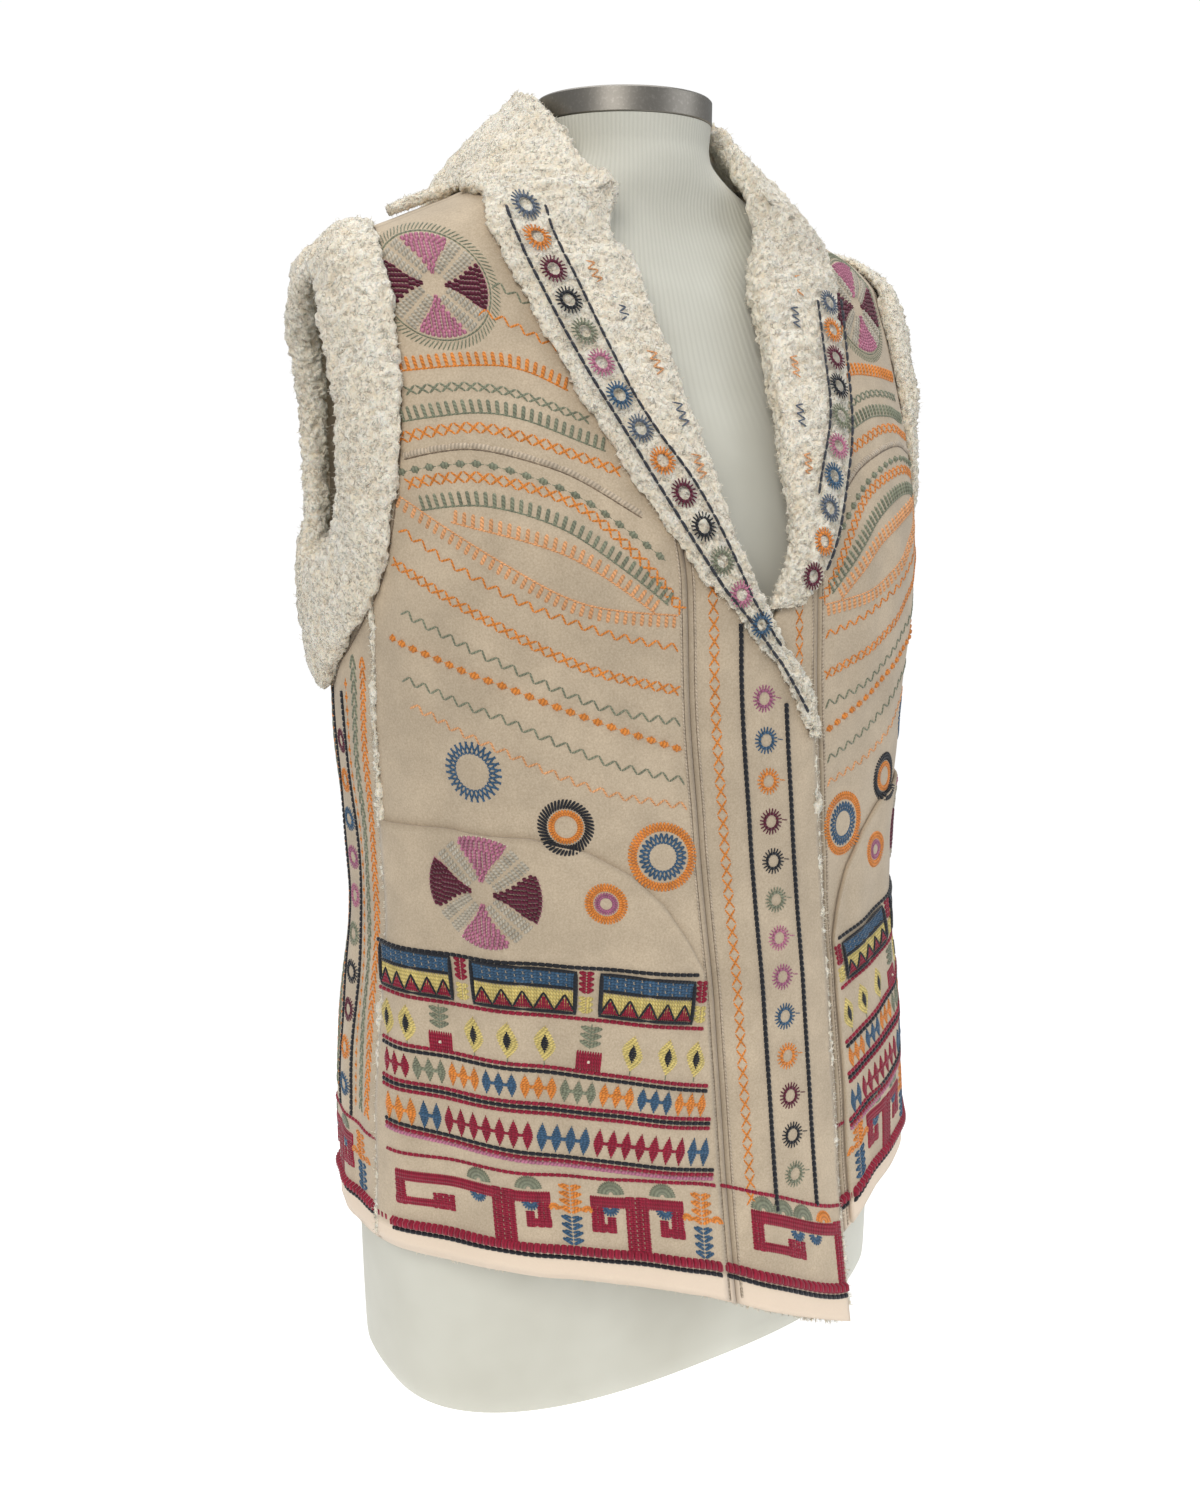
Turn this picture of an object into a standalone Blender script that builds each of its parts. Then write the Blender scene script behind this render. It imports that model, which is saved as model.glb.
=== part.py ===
"""A sleeveless folk vest of pile-lined suede, worn by a limbless dress form.

Metres, +Z up. The form's flat underside is the ground plane, its front faces -Y, and the
wearer's right is -X. The vest is wrapped round one smooth body surface, which is a stack of
rounded sections; every cut piece is a patch of that surface with the cloth's thickness.
"""

import math

import bmesh
import bpy
import numpy as np

COLLECTION = "vest_on_dress_form"

# Cloth
WALL = 0.0035
SEAM_GAP = 0.0006
PATCH_WALL = 0.0020
PATCH_LIFT = 0.0007

# Dress form
NECK_RADIUS = 0.0537
NECK_Y = 0.0080
NECK_TOP = 0.7885
CAP_HEIGHT = 0.0145
CAP_LIP = 0.0006
CAP_EDGE = 0.0012
SHOULDER_DROP = 0.0056
SHOULDER_EASE = 0.0080
SHOULDER_TIP = 0.6960
FORM_TIP_EASE = 0.0140

# Seams and closure, measured along the cloth from the centre front
GROOVE_RIGHT = 0.042
GROOVE_LEFT = 0.050
FRONT_EDGE = 0.042
UNDERLAP = 0.018
OVERLAP_LIFT = 0.0048
OVERLAP_RAMP = math.radians(7.0)
BAND_TOP = 0.5650
GROOVE_TOP = 0.5690
SIDE_SEAM_TURN = math.radians(79.0)
BACK_SEAM_TURN = math.radians(114.0)
SHOULDER_TURN = math.radians(90.0)

# Each row: height, half width, depth in front, depth behind, squareness
VEST_SECTIONS = (
    (0.040, 0.206, 0.186, 0.136, 2.00),
    (0.110, 0.204, 0.173, 0.135, 2.00),
    (0.200, 0.202, 0.160, 0.133, 2.05),
    (0.330, 0.190, 0.147, 0.124, 2.10),
    (0.430, 0.195, 0.148, 0.126, 2.20),
    (0.520, 0.199, 0.145, 0.127, 2.30),
    (0.600, 0.204, 0.118, 0.125, 2.30),
    (0.660, 0.206, 0.092, 0.113, 2.20),
    (0.696, 0.203, 0.077, 0.094, 2.05),
    (0.712, 0.187, 0.070, 0.085, 2.00),
    (0.728, 0.150, 0.066, 0.078, 2.00),
    (0.750, 0.098, 0.060, 0.070, 2.00),
    (0.765, 0.075, 0.058, 0.066, 2.00),
)

# Each row: height, half width, depth in front, depth behind, squareness
FORM_SECTIONS = (
    (0.000, 0.185, 0.101, 0.101, 2.60),
    (0.012, 0.190, 0.105, 0.106, 2.60),
    (0.100, 0.191, 0.105, 0.109, 2.60),
    (0.200, 0.178, 0.104, 0.108, 2.50),
    (0.320, 0.140, 0.095, 0.088, 2.20),
    (0.420, 0.150, 0.106, 0.098, 2.20),
    (0.500, 0.161, 0.124, 0.105, 2.20),
    (0.580, 0.168, 0.106, 0.108, 2.30),
    (0.640, 0.175, 0.084, 0.098, 2.20),
)

# Each row: height, radius
NECK_SECTIONS = (
    (0.7600, 0.0560),
    (0.7720, 0.0525),
    (0.7885, 0.0537),
)

# Each row: height, how far behind the middle plane the section's centre lies, and how far
# the vest hangs towards the wearer's right
LEAN = (
    (0.000, 0.000, 0.001),
    (0.200, 0.000, 0.003),
    (0.400, 0.000, 0.004),
    (0.520, 0.000, 0.001),
    (0.700, 0.011, 0.000),
    (0.765, 0.014, 0.000),
)

# Each row: height, sideways shift of the closed fronts towards the wearer's right
CENTRE_SHIFT = (
    (0.040, -0.010),
    (0.270, -0.010),
    (0.380, 0.000),
    (0.480, 0.010),
    (0.600, 0.012),
)

# Each row: turn from the centre front in degrees, height of the hem
HEM_RIGHT = (
    (-18.0, 0.0520),
    (-13.0, 0.0560),
    (3.0, 0.0820),
    (17.0, 0.1040),
    (28.0, 0.1140),
    (42.0, 0.1200),
    (58.0, 0.1215),
    (79.0, 0.1185),
    (114.0, 0.1180),
)
HEM_LEFT = (
    (-18.0, 0.1010),
    (3.0, 0.1020),
    (17.0, 0.1080),
    (28.0, 0.1200),
    (42.0, 0.1240),
    (58.0, 0.1225),
    (79.0, 0.1185),
    (114.0, 0.1180),
)

# Each row: height, roll line and outer edge along the cloth from the centre front
LAPEL = (
    (0.430, -0.0397, -0.0317),
    (0.458, -0.0290, -0.0150),
    (0.486, -0.0090, 0.0080),
    (0.506, 0.0030, 0.0250),
    (0.530, 0.0140, 0.0460),
    (0.560, 0.0240, 0.0650),
    (0.595, 0.0290, 0.0820),
    (0.635, 0.0350, 0.0980),
    (0.675, 0.0410, 0.1110),
    (0.708, 0.0490, 0.1190),
)
LEFT_LAPEL_START = 3
LAPEL_RETURN = 0.30
LAPEL_FULL_WIDTH = 0.022
STAND_RETURN = 0.026

# Each row: turn and height of the neckline, turn and height of the collar's edge,
# radius and height of the collar's roll; turns in degrees
COLLAR_STAND = (
    (44.0, 0.7420, 56.0, 0.7335, 0.0800, 0.7530),
    (64.0, 0.7520, 77.0, 0.7410, 0.0650, 0.7800),
    (90.0, 0.7570, 93.0, 0.7445, 0.0610, 0.8000),
    (118.0, 0.7550, 115.0, 0.7370, 0.0610, 0.8080),
    (148.0, 0.7500, 146.0, 0.7220, 0.0610, 0.8110),
    (180.0, 0.7480, 180.0, 0.7150, 0.0610, 0.8110),
)

# Each row: turn and height of the cut edge, turn and height of the band's outer edge;
# turns in degrees. The front's side seam ends on row 5 and the back seam on row 10.
ARMHOLE = (
    (90.0, 0.7090, 91.0, 0.7200),
    (80.0, 0.6940, 69.5, 0.7110),
    (75.0, 0.6640, 60.5, 0.6880),
    (74.0, 0.6340, 59.5, 0.6520),
    (75.5, 0.6040, 61.5, 0.6170),
    (79.0, 0.5700, 67.0, 0.5700),
    (84.0, 0.5440, 75.0, 0.5240),
    (91.0, 0.5260, 87.0, 0.4860),
    (99.0, 0.5200, 101.0, 0.4560),
    (107.0, 0.5280, 115.0, 0.4840),
    (114.0, 0.5490, 126.0, 0.5240),
    (119.0, 0.5800, 132.0, 0.5760),
    (121.0, 0.6130, 135.0, 0.6200),
    (120.0, 0.6420, 135.0, 0.6560),
    (115.0, 0.6680, 131.0, 0.6900),
    (103.0, 0.6940, 115.0, 0.7115),
)
SIDE_SEAM_ROW = 5
BACK_SEAM_ROW = 10
ARMBAND_RETURN = 0.0150
ARMBAND_FULLNESS = 1.45

# Each row: distance past the groove seam along the cloth, height of the pocket's edge
POCKET_EDGE = (
    (0.0060, 0.2960),
    (0.0140, 0.3160),
    (0.0260, 0.3390),
    (0.0440, 0.3590),
    (0.0680, 0.3740),
    (0.0980, 0.3825),
    (0.1430, 0.3850),
    (0.2100, 0.3840),
)
POCKET_HEM = 0.004
POCKET_MARGIN = 0.006

# Section of a turned-out pile edge. Each row: share of the way from the outer edge to the
# cut edge, share of the return past the cut edge, height off the cloth
PILE_CLEARANCE = 0.0019
PILE_SECTION = (
    (0.03, 0.00, 0.0009),
    (0.27, 0.00, 0.0012),
    (0.51, 0.00, 0.0013),
    (0.75, 0.00, 0.0013),
    (1.00, 0.00, 0.0013),
    (1.00, 0.00, -0.0034),
    (1.00, 0.55, -0.0034),
    (1.00, 1.00, 0.0022),
    (1.00, 0.65, 0.0092),
    (0.80, 0.00, 0.0118),
    (0.40, 0.00, 0.0112),
    (0.00, 0.00, 0.0062),
)
PILE_FULL_WIDTH = 0.045

SUEDE = ("suede", (0.72, 0.64, 0.54), 0.85, 0.0)
PILE = ("pile", (0.86, 0.81, 0.72), 0.95, 0.0)
JERSEY = ("jersey", (0.66, 0.65, 0.58), 0.80, 0.0)
STEEL = ("steel", (0.42, 0.41, 0.38), 0.35, 1.0)


def smooth(rows, column, at):
    """The value of a table's column at a point, on a smooth curve with no overshoot."""
    table = np.asarray(rows, float)
    x, y = table[:, 0], table[:, column]
    step = np.diff(x)
    rise = np.diff(y) / step
    slope = np.zeros_like(y)
    slope[0], slope[-1] = rise[0], rise[-1]
    for i in range(1, len(x) - 1):
        if rise[i - 1] * rise[i] > 0:
            before, after = step[i - 1], step[i]
            weight = (before + 2 * after) / rise[i - 1] + (2 * before + after) / rise[i]
            slope[i] = 3 * (before + after) / weight
    at = np.clip(np.asarray(at, float), x[0], x[-1])
    i = np.clip(np.searchsorted(x, at) - 1, 0, len(x) - 2)
    t = (at - x[i]) / step[i]
    start = (1 + 2 * t) * (1 - t) ** 2 * y[i] + t * (1 - t) ** 2 * step[i] * slope[i]
    end = t * t * (3 - 2 * t) * y[i + 1] + t * t * (t - 1) * step[i] * slope[i + 1]
    return start + end


def ease(share):
    """A smooth step from 0 to 1."""
    share = min(max(share, 0.0), 1.0)
    return share * share * (3 - 2 * share)


def outline(turn, height):
    """A point of the vest's body surface: turn is in radians from the centre front."""
    turn, height = np.broadcast_arrays(np.asarray(turn, float), np.asarray(height, float))
    width, front, back, square = (smooth(VEST_SECTIONS, k, height) for k in (1, 2, 3, 4))
    across, ahead = np.sin(turn), np.cos(turn)
    depth = np.where(ahead > 0, front, back)
    x = -width * np.sign(across) * np.abs(across) ** (2 / square)
    y = smooth(LEAN, 1, height) - depth * np.sign(ahead) * np.abs(ahead) ** (2 / square)
    return np.stack([x, y, height], -1)


def cloth(turn, height, out=0.0):
    """A point on the body surface, moved out along the surface's normal."""
    reach, rise = math.radians(1.0), 0.002
    around = outline(turn + reach, height) - outline(turn - reach, height)
    upward = outline(turn, height + rise) - outline(turn, height - rise)
    normal = np.cross(upward, around)
    return outline(turn, height) + normal / np.linalg.norm(normal) * out


def turn_at(along, height):
    """The turn at a distance along the cloth from the centre front, towards the side."""
    steps = np.linspace(0, math.pi, 181)
    ring = outline(steps, height)
    lengths = np.linalg.norm(np.diff(ring, axis=0), axis=1)
    walked = np.concatenate([[0.0], np.cumsum(lengths)])
    return math.copysign(float(np.interp(abs(along), walked, steps)), along)


def groove_along(side, height):
    """How far from the centre front the seam between a front and its band lies."""
    shift = float(smooth(CENTRE_SHIFT, 1, height))
    return GROOVE_RIGHT + shift if side > 0 else GROOVE_LEFT - shift


def groove_turn(side, height, past=0.0):
    """The turn of the groove seam, or of a line a little past it."""
    return turn_at(groove_along(side, height) + past, height)


def hem_height(side, turn):
    """The height of the hem at a turn, on the wearer's right (1) or left (-1)."""
    return float(smooth(HEM_RIGHT if side > 0 else HEM_LEFT, 1, math.degrees(turn)))


def lapel_cut(height):
    """How far from the centre front the cloth's edge lies under the lapel's roll."""
    roll, edge = (float(smooth(LAPEL, k, height)) for k in (1, 2))
    return roll + LAPEL_RETURN * min(edge - roll, LAPEL_FULL_WIDTH)


def overlap_lift(turn, height):
    """How far the right front band rises to pass over the left one."""
    past = (groove_turn(1, height) - turn) / OVERLAP_RAMP
    return OVERLAP_LIFT * ease(past) * (1 - ease((height - 0.490) / 0.060))


def spline(points, t):
    """A point on a smooth curve through points; t counts from one point to the next."""
    i = min(int(t), len(points) - 2)
    f = t - i
    a, b = points[i], points[i + 1]
    before = points[i - 1] if i > 0 else 2 * a - b
    after = points[i + 2] if i + 2 < len(points) else 2 * b - a
    enter, leave = (b - before) / 2, (after - a) / 2
    start = (1 + 2 * f) * (1 - f) ** 2 * a + f * (1 - f) ** 2 * enter
    return start + f * f * (3 - 2 * f) * b + f * f * (f - 1) * leave


def armhole(row):
    """Cut edge and outer edge of an armband, as turns and heights, at a table row."""
    table = np.asarray(ARMHOLE, float)
    count = len(table)
    i = int(math.floor(row))
    near = [table[(i + k) % count] for k in (-1, 0, 1, 2)]
    turn, height, edge_turn, edge_height = spline(near, 1 + row - i)
    return (math.radians(turn), height), (math.radians(edge_turn), edge_height)


def armhole_cut(first, last):
    """The cut edge of the armhole between two rows of its table."""
    return [armhole(row)[0] for row in np.linspace(first, last, 3 * abs(last - first) + 1)]


def route(*legs):
    """A path of legs, each a number of rows and its points, as a function of 0 to 1."""
    total = sum(rows for rows, _ in legs)

    def place(t):
        row = t * total
        for rows, points in legs:
            if row <= rows + 1e-9:
                break
            row -= rows
        points = np.asarray(points, float)
        lengths = np.linalg.norm(np.diff(points * (0.17, 1.0), axis=0), axis=1)
        walked = np.concatenate([[0.0], np.cumsum(lengths)])
        at = min(row / rows, 1.0) * walked[-1]
        return np.array([np.interp(at, walked, points[:, k]) for k in (0, 1)])

    return place


def patch(bottom, top, left, right):
    """A surface patch in turn and height, blended between its four edges."""

    def place(u, v):
        sides = (1 - u) * left(v) + u * right(v)
        ends = (1 - v) * bottom(u) + v * top(u)
        low = (1 - u) * bottom(0) + u * bottom(1)
        high = (1 - u) * top(0) + u * top(1)
        return sides + ends - (1 - v) * low - v * high

    return place


def material(finish):
    """The named material, made on its first use."""
    name, colour, roughness, metallic = finish
    found = bpy.data.materials.get(name)
    if found is None:
        found = bpy.data.materials.new(name)
        found.use_nodes = True
        shader = found.node_tree.nodes["Principled BSDF"]
        shader.inputs["Base Color"].default_value = (*colour, 1.0)
        shader.inputs["Roughness"].default_value = roughness
        shader.inputs["Metallic"].default_value = metallic
    return found


def add_object(name, form, finish):
    """An object in the part's collection, made from a finished bmesh."""
    bmesh.ops.recalc_face_normals(form, faces=form.faces)
    if form.calc_volume(signed=True) < 0:
        bmesh.ops.reverse_faces(form, faces=form.faces)
    mesh = bpy.data.meshes.new(name)
    form.to_mesh(mesh)
    form.free()
    mesh.materials.append(material(finish))
    mesh.shade_smooth()
    mesh.set_sharp_from_angle(angle=math.radians(50))
    piece = bpy.data.objects.new(name, mesh)
    bpy.data.collections[COLLECTION].objects.link(piece)
    return piece


def slab(name, finish, columns, rows, place):
    """A flat slab bent to a surface: place(u, v, depth) has depth 0 outside, 1 inside."""
    form = bmesh.new()
    bmesh.ops.create_grid(form, x_segments=columns, y_segments=rows, size=0.5)
    raised = bmesh.ops.extrude_face_region(form, geom=form.faces[:])["geom"]
    raised = [vert for vert in raised if isinstance(vert, bmesh.types.BMVert)]
    bmesh.ops.translate(form, verts=raised, vec=(0.0, 0.0, 1.0))
    for vert in form.verts:
        vert.co = place(vert.co.x + 0.5, vert.co.y + 0.5, 1.0 - vert.co.z)
    return add_object(name, form, finish)


def loft(name, finish, rings, closed):
    """A solid through rings of equal count, joined into a loop or capped at its ends."""
    count = len(rings[0])
    form = bmesh.new()
    bmesh.ops.create_grid(form, x_segments=len(rings) - 1, y_segments=count, size=0.5)
    for vert in form.verts:
        station = round((vert.co.x + 0.5) * (len(rings) - 1))
        vert.co = rings[station][round((vert.co.y + 0.5) * count) % count]
    bmesh.ops.remove_doubles(form, verts=form.verts, dist=1e-5)
    if not closed:
        ends = [edge for edge in form.edges if edge.is_boundary]
        caps = bmesh.ops.holes_fill(form, edges=ends, sides=0)["faces"]
        bmesh.ops.triangulate(form, faces=caps)
    return add_object(name, form, finish)


def sided(side, point):
    """A point of the vest's right-hand side, or its mirror image on the wearer's left."""
    return (side * point[0] - float(smooth(LEAN, 2, point[2])), point[1], point[2])


def seam_margin(turn, height):
    """Half of a seam's gap, as a turn."""
    step = 0.01
    around = np.linalg.norm(outline(turn + step, height) - outline(turn, height)) / step
    return 0.5 * SEAM_GAP / around


def make_panel(side, name, columns, rows, surface, outer, wall):
    """A cut piece that follows a patch in turn and height."""

    def place(u, v, depth):
        turn, height = surface(u, v)
        return sided(side, cloth(turn, height, outer - depth * wall))

    return slab(name, SUEDE, columns, rows, place)


def make_front(side, name):
    """A front: from the groove seam to the side seam, and up to the shoulder seam."""
    side_turn = SIDE_SEAM_TURN - seam_margin(SIDE_SEAM_TURN, 0.4)
    shoulder = SHOULDER_TURN - seam_margin(SHOULDER_TURN, 0.73)
    low = hem_height(side, groove_turn(side, 0.11))
    groove = []
    for height in np.linspace(low, GROOVE_TOP, 24):
        turn = groove_turn(side, height)
        groove.append((turn + seam_margin(turn, height), height))
    lapel = [(turn_at(lapel_cut(row[0]), row[0]), row[0]) for row in LAPEL[6:]]
    stand = [(math.radians(row[0]), row[1]) for row in COLLAR_STAND[:2]]
    neck = [lapel[-1]] + stand + [(shoulder, COLLAR_STAND[2][1])]
    armhole_edge = armhole_cut(SIDE_SEAM_ROW, 0)
    armhole_edge[0] = (side_turn, armhole_edge[0][1])
    armhole_edge[-1] = (shoulder, armhole_edge[-1][1])
    seam = [(side_turn, hem_height(side, side_turn)), armhole_edge[0]]
    turns = np.linspace(groove[0][0], side_turn, 13)
    hem = [(t, hem_height(side, t)) for t in turns]
    surface = patch(
        route((14, hem)),
        route((14, neck)),
        route((15, groove), (8, [groove[-1]] + lapel)),
        route((12, seam), (8, armhole_edge), (3, [armhole_edge[-1], neck[-1]])),
    )
    return make_panel(side, name, 14, 23, surface, 0.0, WALL)


def make_band(side, name):
    """A front band: the strip between the groove seam and the front edge."""

    def edge_along(height):
        shift = float(smooth(CENTRE_SHIFT, 1, height))
        edge = shift - FRONT_EDGE if side > 0 else -shift - UNDERLAP
        return max(edge, lapel_cut(height)) if height > LAPEL[0][0] else edge

    base_outer = hem_height(side, groove_turn(side, 0.11))
    base_inner = hem_height(side, turn_at(edge_along(0.08), 0.08))

    def place(u, v, depth):
        base = base_inner + (base_outer - base_inner) * u
        height = base + (BAND_TOP - base) * v
        inner = turn_at(edge_along(height), height)
        groove = groove_turn(side, height)
        turn = inner + (groove - seam_margin(groove, height) - inner) * u
        out = overlap_lift(turn, height) if side > 0 else 0.0
        return sided(side, cloth(turn, height, out - depth * WALL))

    return slab(name, SUEDE, 5, 28, place)


def make_side(side, name):
    """A side panel: under the arm, between the front and the back."""
    first = SIDE_SEAM_TURN + seam_margin(SIDE_SEAM_TURN, 0.4)
    last = BACK_SEAM_TURN - seam_margin(BACK_SEAM_TURN, 0.4)
    cut = armhole_cut(SIDE_SEAM_ROW, BACK_SEAM_ROW)
    cut[0] = (first, cut[0][1])
    cut[-1] = (last, cut[-1][1])
    surface = patch(
        route((10, [(first, hem_height(side, first)), (last, hem_height(side, last))])),
        route((10, cut)),
        route((14, [(first, hem_height(side, first)), cut[0]])),
        route((14, [(last, hem_height(side, last)), cut[-1]])),
    )
    return make_panel(side, name, 10, 14, surface, 0.0, WALL)


def make_back():
    """The back: one panel between the two back seams, up to the shoulder seams."""
    first = BACK_SEAM_TURN + seam_margin(BACK_SEAM_TURN, 0.4)
    shoulder = SHOULDER_TURN + seam_margin(SHOULDER_TURN, 0.73)
    base = hem_height(1, first)
    cut = armhole_cut(BACK_SEAM_ROW, len(ARMHOLE))
    cut[0] = (first, cut[0][1])
    cut[-1] = (shoulder, cut[-1][1])
    neck = [(shoulder, COLLAR_STAND[2][1])]
    neck += [(math.radians(row[0]), row[1]) for row in COLLAR_STAND[3:]]

    def other(points):
        return [(2 * math.pi - turn, height) for turn, height in points]

    seam, shoulder_seam = [(first, base), cut[0]], [cut[-1], neck[0]]
    surface = patch(
        route((20, [(first, base), (2 * math.pi - first, base)])),
        route((20, neck + other(neck[:-1])[::-1])),
        route((12, seam), (9, cut), (3, shoulder_seam)),
        route((12, other(seam)), (9, other(cut)), (3, other(shoulder_seam))),
    )
    return make_panel(1, "back", 20, 24, surface, 0.0, WALL)


def make_pocket(side, name):
    """A patch pocket on a front's lower part, with a curved upper edge."""
    side_turn = SIDE_SEAM_TURN - 0.006
    inner_top = POCKET_EDGE[0][1]
    low = hem_height(side, groove_turn(side, 0.11)) + POCKET_HEM
    inner = [
        (groove_turn(side, h, POCKET_MARGIN), h) for h in np.linspace(low, inner_top, 9)
    ]
    curve = [(groove_turn(side, row[1], row[0]), row[1]) for row in POCKET_EDGE[1:-1]]
    outer_top = (side_turn, POCKET_EDGE[-1][1])
    turns = np.linspace(inner[0][0], side_turn, 13)
    hem = [(t, hem_height(side, t) + POCKET_HEM) for t in turns]
    surface = patch(
        route((12, hem)),
        route((12, [inner[-1]] + curve + [outer_top])),
        route((10, inner)),
        route((10, [hem[-1], outer_top])),
    )
    return make_panel(side, name, 12, 10, surface, PATCH_LIFT + PATCH_WALL, PATCH_WALL)


def pile_ring(cut, edge, reach, fullness=1.0, lift=0.0):
    """A section of a pile strip that is turned out over the cloth's cut edge."""
    cut, edge = np.asarray(cut, float), np.asarray(edge, float)
    middle = (cut + edge) / 2
    around = np.linalg.norm(outline(middle[0] + 0.01, middle[1]) - outline(*middle)) / 0.01
    span = np.linalg.norm((cut - edge) * (around, 1.0))
    swell = min(max(span / PILE_FULL_WIDTH, 0.45), 1.0) * fullness
    ring = []
    for share, past, out in PILE_SECTION:
        beyond = PILE_CLEARANCE + past * (reach - PILE_CLEARANCE) if share == 1.0 else 0.0
        turn, height = edge + (cut - edge) * (share + beyond / span)
        thick = out * swell if out > 0.002 else out
        ring.append(cloth(turn, height, thick + lift))
    return ring


def stand_ring(neck, edge, radius, top):
    """A section of the collar where it stands round the neck and falls outwards."""
    away = np.array([-math.sin(neck[0]), -math.cos(neck[0]), 0.0])
    axis = np.array([0.0, NECK_Y, 0.0])

    def beside_neck(distance, height):
        return axis + away * (radius + distance) + np.array([0.0, 0.0, height])

    inside = cloth(*neck, -0.0032) + np.array([0.0, 0.0, 0.0042])
    deep = inside + (beside_neck(0.0, top - 0.020) - inside) * 0.35
    outer = cloth(*edge, 0.0070)
    shoulder = beside_neck(0.0125, top - 0.008)
    return [
        cloth(*(edge * 0.97 + neck * 0.03), 0.0010),
        cloth(*(edge * 0.73 + neck * 0.27), 0.0014),
        cloth(*(edge * 0.49 + neck * 0.51), 0.0015),
        cloth(*(edge * 0.25 + neck * 0.75), 0.0015),
        cloth(*neck, 0.0014) + np.array([0.0, 0.0, 0.0012]),
        inside,
        deep,
        beside_neck(0.0, top - 0.012),
        beside_neck(0.0045, top),
        shoulder,
        (shoulder + outer) / 2 + away * 0.0035 + np.array([0.0, 0.0, 0.002]),
        outer,
    ]


def collar_rows(side):
    """The collar's lines from the lapel's point to the centre back, a row for each place.

    Each row: turn and height of the cut edge, turn and height of the outer edge, return
    past the cut edge, share of standing up round the neck, radius and height of the roll.
    """
    rows = []
    for height, roll, edge in LAPEL[0 if side > 0 else LEFT_LAPEL_START:]:
        cut = turn_at(lapel_cut(height), height)
        reach = LAPEL_RETURN * min(edge - roll, LAPEL_FULL_WIDTH)
        rows.append((cut, height, turn_at(edge, height), height, reach, 0.0))
        rows[-1] += COLLAR_STAND[0][4:]
    for turn, height, edge_turn, edge_height, radius, top in COLLAR_STAND:
        turns = (math.radians(turn), math.radians(edge_turn))
        rows.append((turns[0], height, turns[1], edge_height, STAND_RETURN, 1.0, radius, top))
    return np.asarray(rows)


def make_collar(side, name):
    """Half of the shawl collar, from the lapel's point to the centre back."""
    rows = collar_rows(side)
    rings = []
    for t in np.linspace(0, len(rows) - 1, 3 * len(rows) - 2):
        row = spline(rows, t)
        cut, edge, reach, stand = row[:2], row[2:4], row[4], row[5]
        lift = overlap_lift(*cut) if side > 0 else 0.0
        flat = np.asarray(pile_ring(cut, edge, reach, lift=lift))
        upright = np.asarray(stand_ring(cut, edge, *row[6:]))
        rings.append(flat + (upright - flat) * ease(stand))
    rings[-1][:, 0] = -0.5 * SEAM_GAP
    solid = [[sided(side, point) for point in ring] for ring in rings]
    return loft(name, PILE, solid, closed=False)


def make_armband(side, name):
    """The pile band that is turned out round an armhole."""
    rings = []
    for row in np.linspace(0, len(ARMHOLE), 3 * len(ARMHOLE) + 1):
        ring = pile_ring(*armhole(row), ARMBAND_RETURN, ARMBAND_FULLNESS)
        rings.append([sided(side, point) for point in ring])
    return loft(name, PILE, rings, closed=True)


def make_shoulder_roll(side, name):
    """The roll of pile that shows along a shoulder seam."""
    radius = 0.0042
    path = bpy.data.curves.new(name, "CURVE")
    path.dimensions = "3D"
    path.bevel_depth = radius
    path.bevel_resolution = 2
    path.use_fill_caps = True
    heights = np.linspace(0.7405, 0.7255, 7)
    line = path.splines.new("POLY")
    line.points.add(len(heights) - 1)
    for point, height in zip(line.points, heights):
        spot = sided(side, cloth(SHOULDER_TURN, height, radius + 0.0006))
        point.co = (*spot, 1.0)
    piece = bpy.data.objects.new(name, path)
    bpy.data.collections[COLLECTION].objects.link(piece)
    path.materials.append(material(PILE))
    return piece


def form_section(height):
    """Half width, depths and squareness of the dress form at a height."""
    rows = list(FORM_SECTIONS)
    for level, width, front, back, square in VEST_SECTIONS:
        if SHOULDER_TIP <= level < 0.76:
            narrow = FORM_TIP_EASE * (1 - ease((level - SHOULDER_TIP) / 0.030))
            depths = (front - SHOULDER_EASE, back - SHOULDER_EASE)
            rows.append((level - SHOULDER_DROP, width - narrow, *depths, square))
    rows += [(level, radius, radius, radius, 2.0) for level, radius in NECK_SECTIONS]
    return [float(smooth(rows, k, height)) for k in (1, 2, 3, 4)]


def form_lean(height):
    """How far behind the middle plane the form's section lies."""
    share = ease((height - 0.72) / 0.04)
    return float(smooth(LEAN, 1, height)) * (1 - share) + NECK_Y * share


def make_form():
    """The limbless dress form: one smooth closed torso with a flat underside."""
    base_rings, side_rings, top_rings, segments = 2, 32, 1, 44
    total = base_rings + side_rings + top_rings
    torso = bmesh.new()
    bmesh.ops.create_uvsphere(torso, u_segments=segments, v_segments=total + 1, radius=1.0)
    for vert in torso.verts:
        polar = math.acos(max(-1.0, min(1.0, -vert.co.z)))
        ring = round(polar / math.pi * (total + 1))
        around = math.atan2(vert.co.x, -vert.co.y)
        height, share = 0.0, ring / base_rings
        if ring > total - top_rings:
            height, share = NECK_TOP, (total + 1 - ring) / (top_rings + 1)
        elif ring > base_rings:
            step = (ring - base_rings) / (side_rings + 1)
            height, share = NECK_TOP * (1 - (1 - step) ** 1.5), 1.0
        width, front, back, square = form_section(height)
        across, ahead = math.sin(around), math.cos(around)
        depth = front if ahead > 0 else back
        x = width * math.copysign(abs(across) ** (2 / square), across)
        y = -depth * math.copysign(abs(ahead) ** (2 / square), ahead)
        vert.co = (x * share, form_lean(height) + y * share, height)
    return add_object("form_torso", torso, JERSEY)


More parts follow.
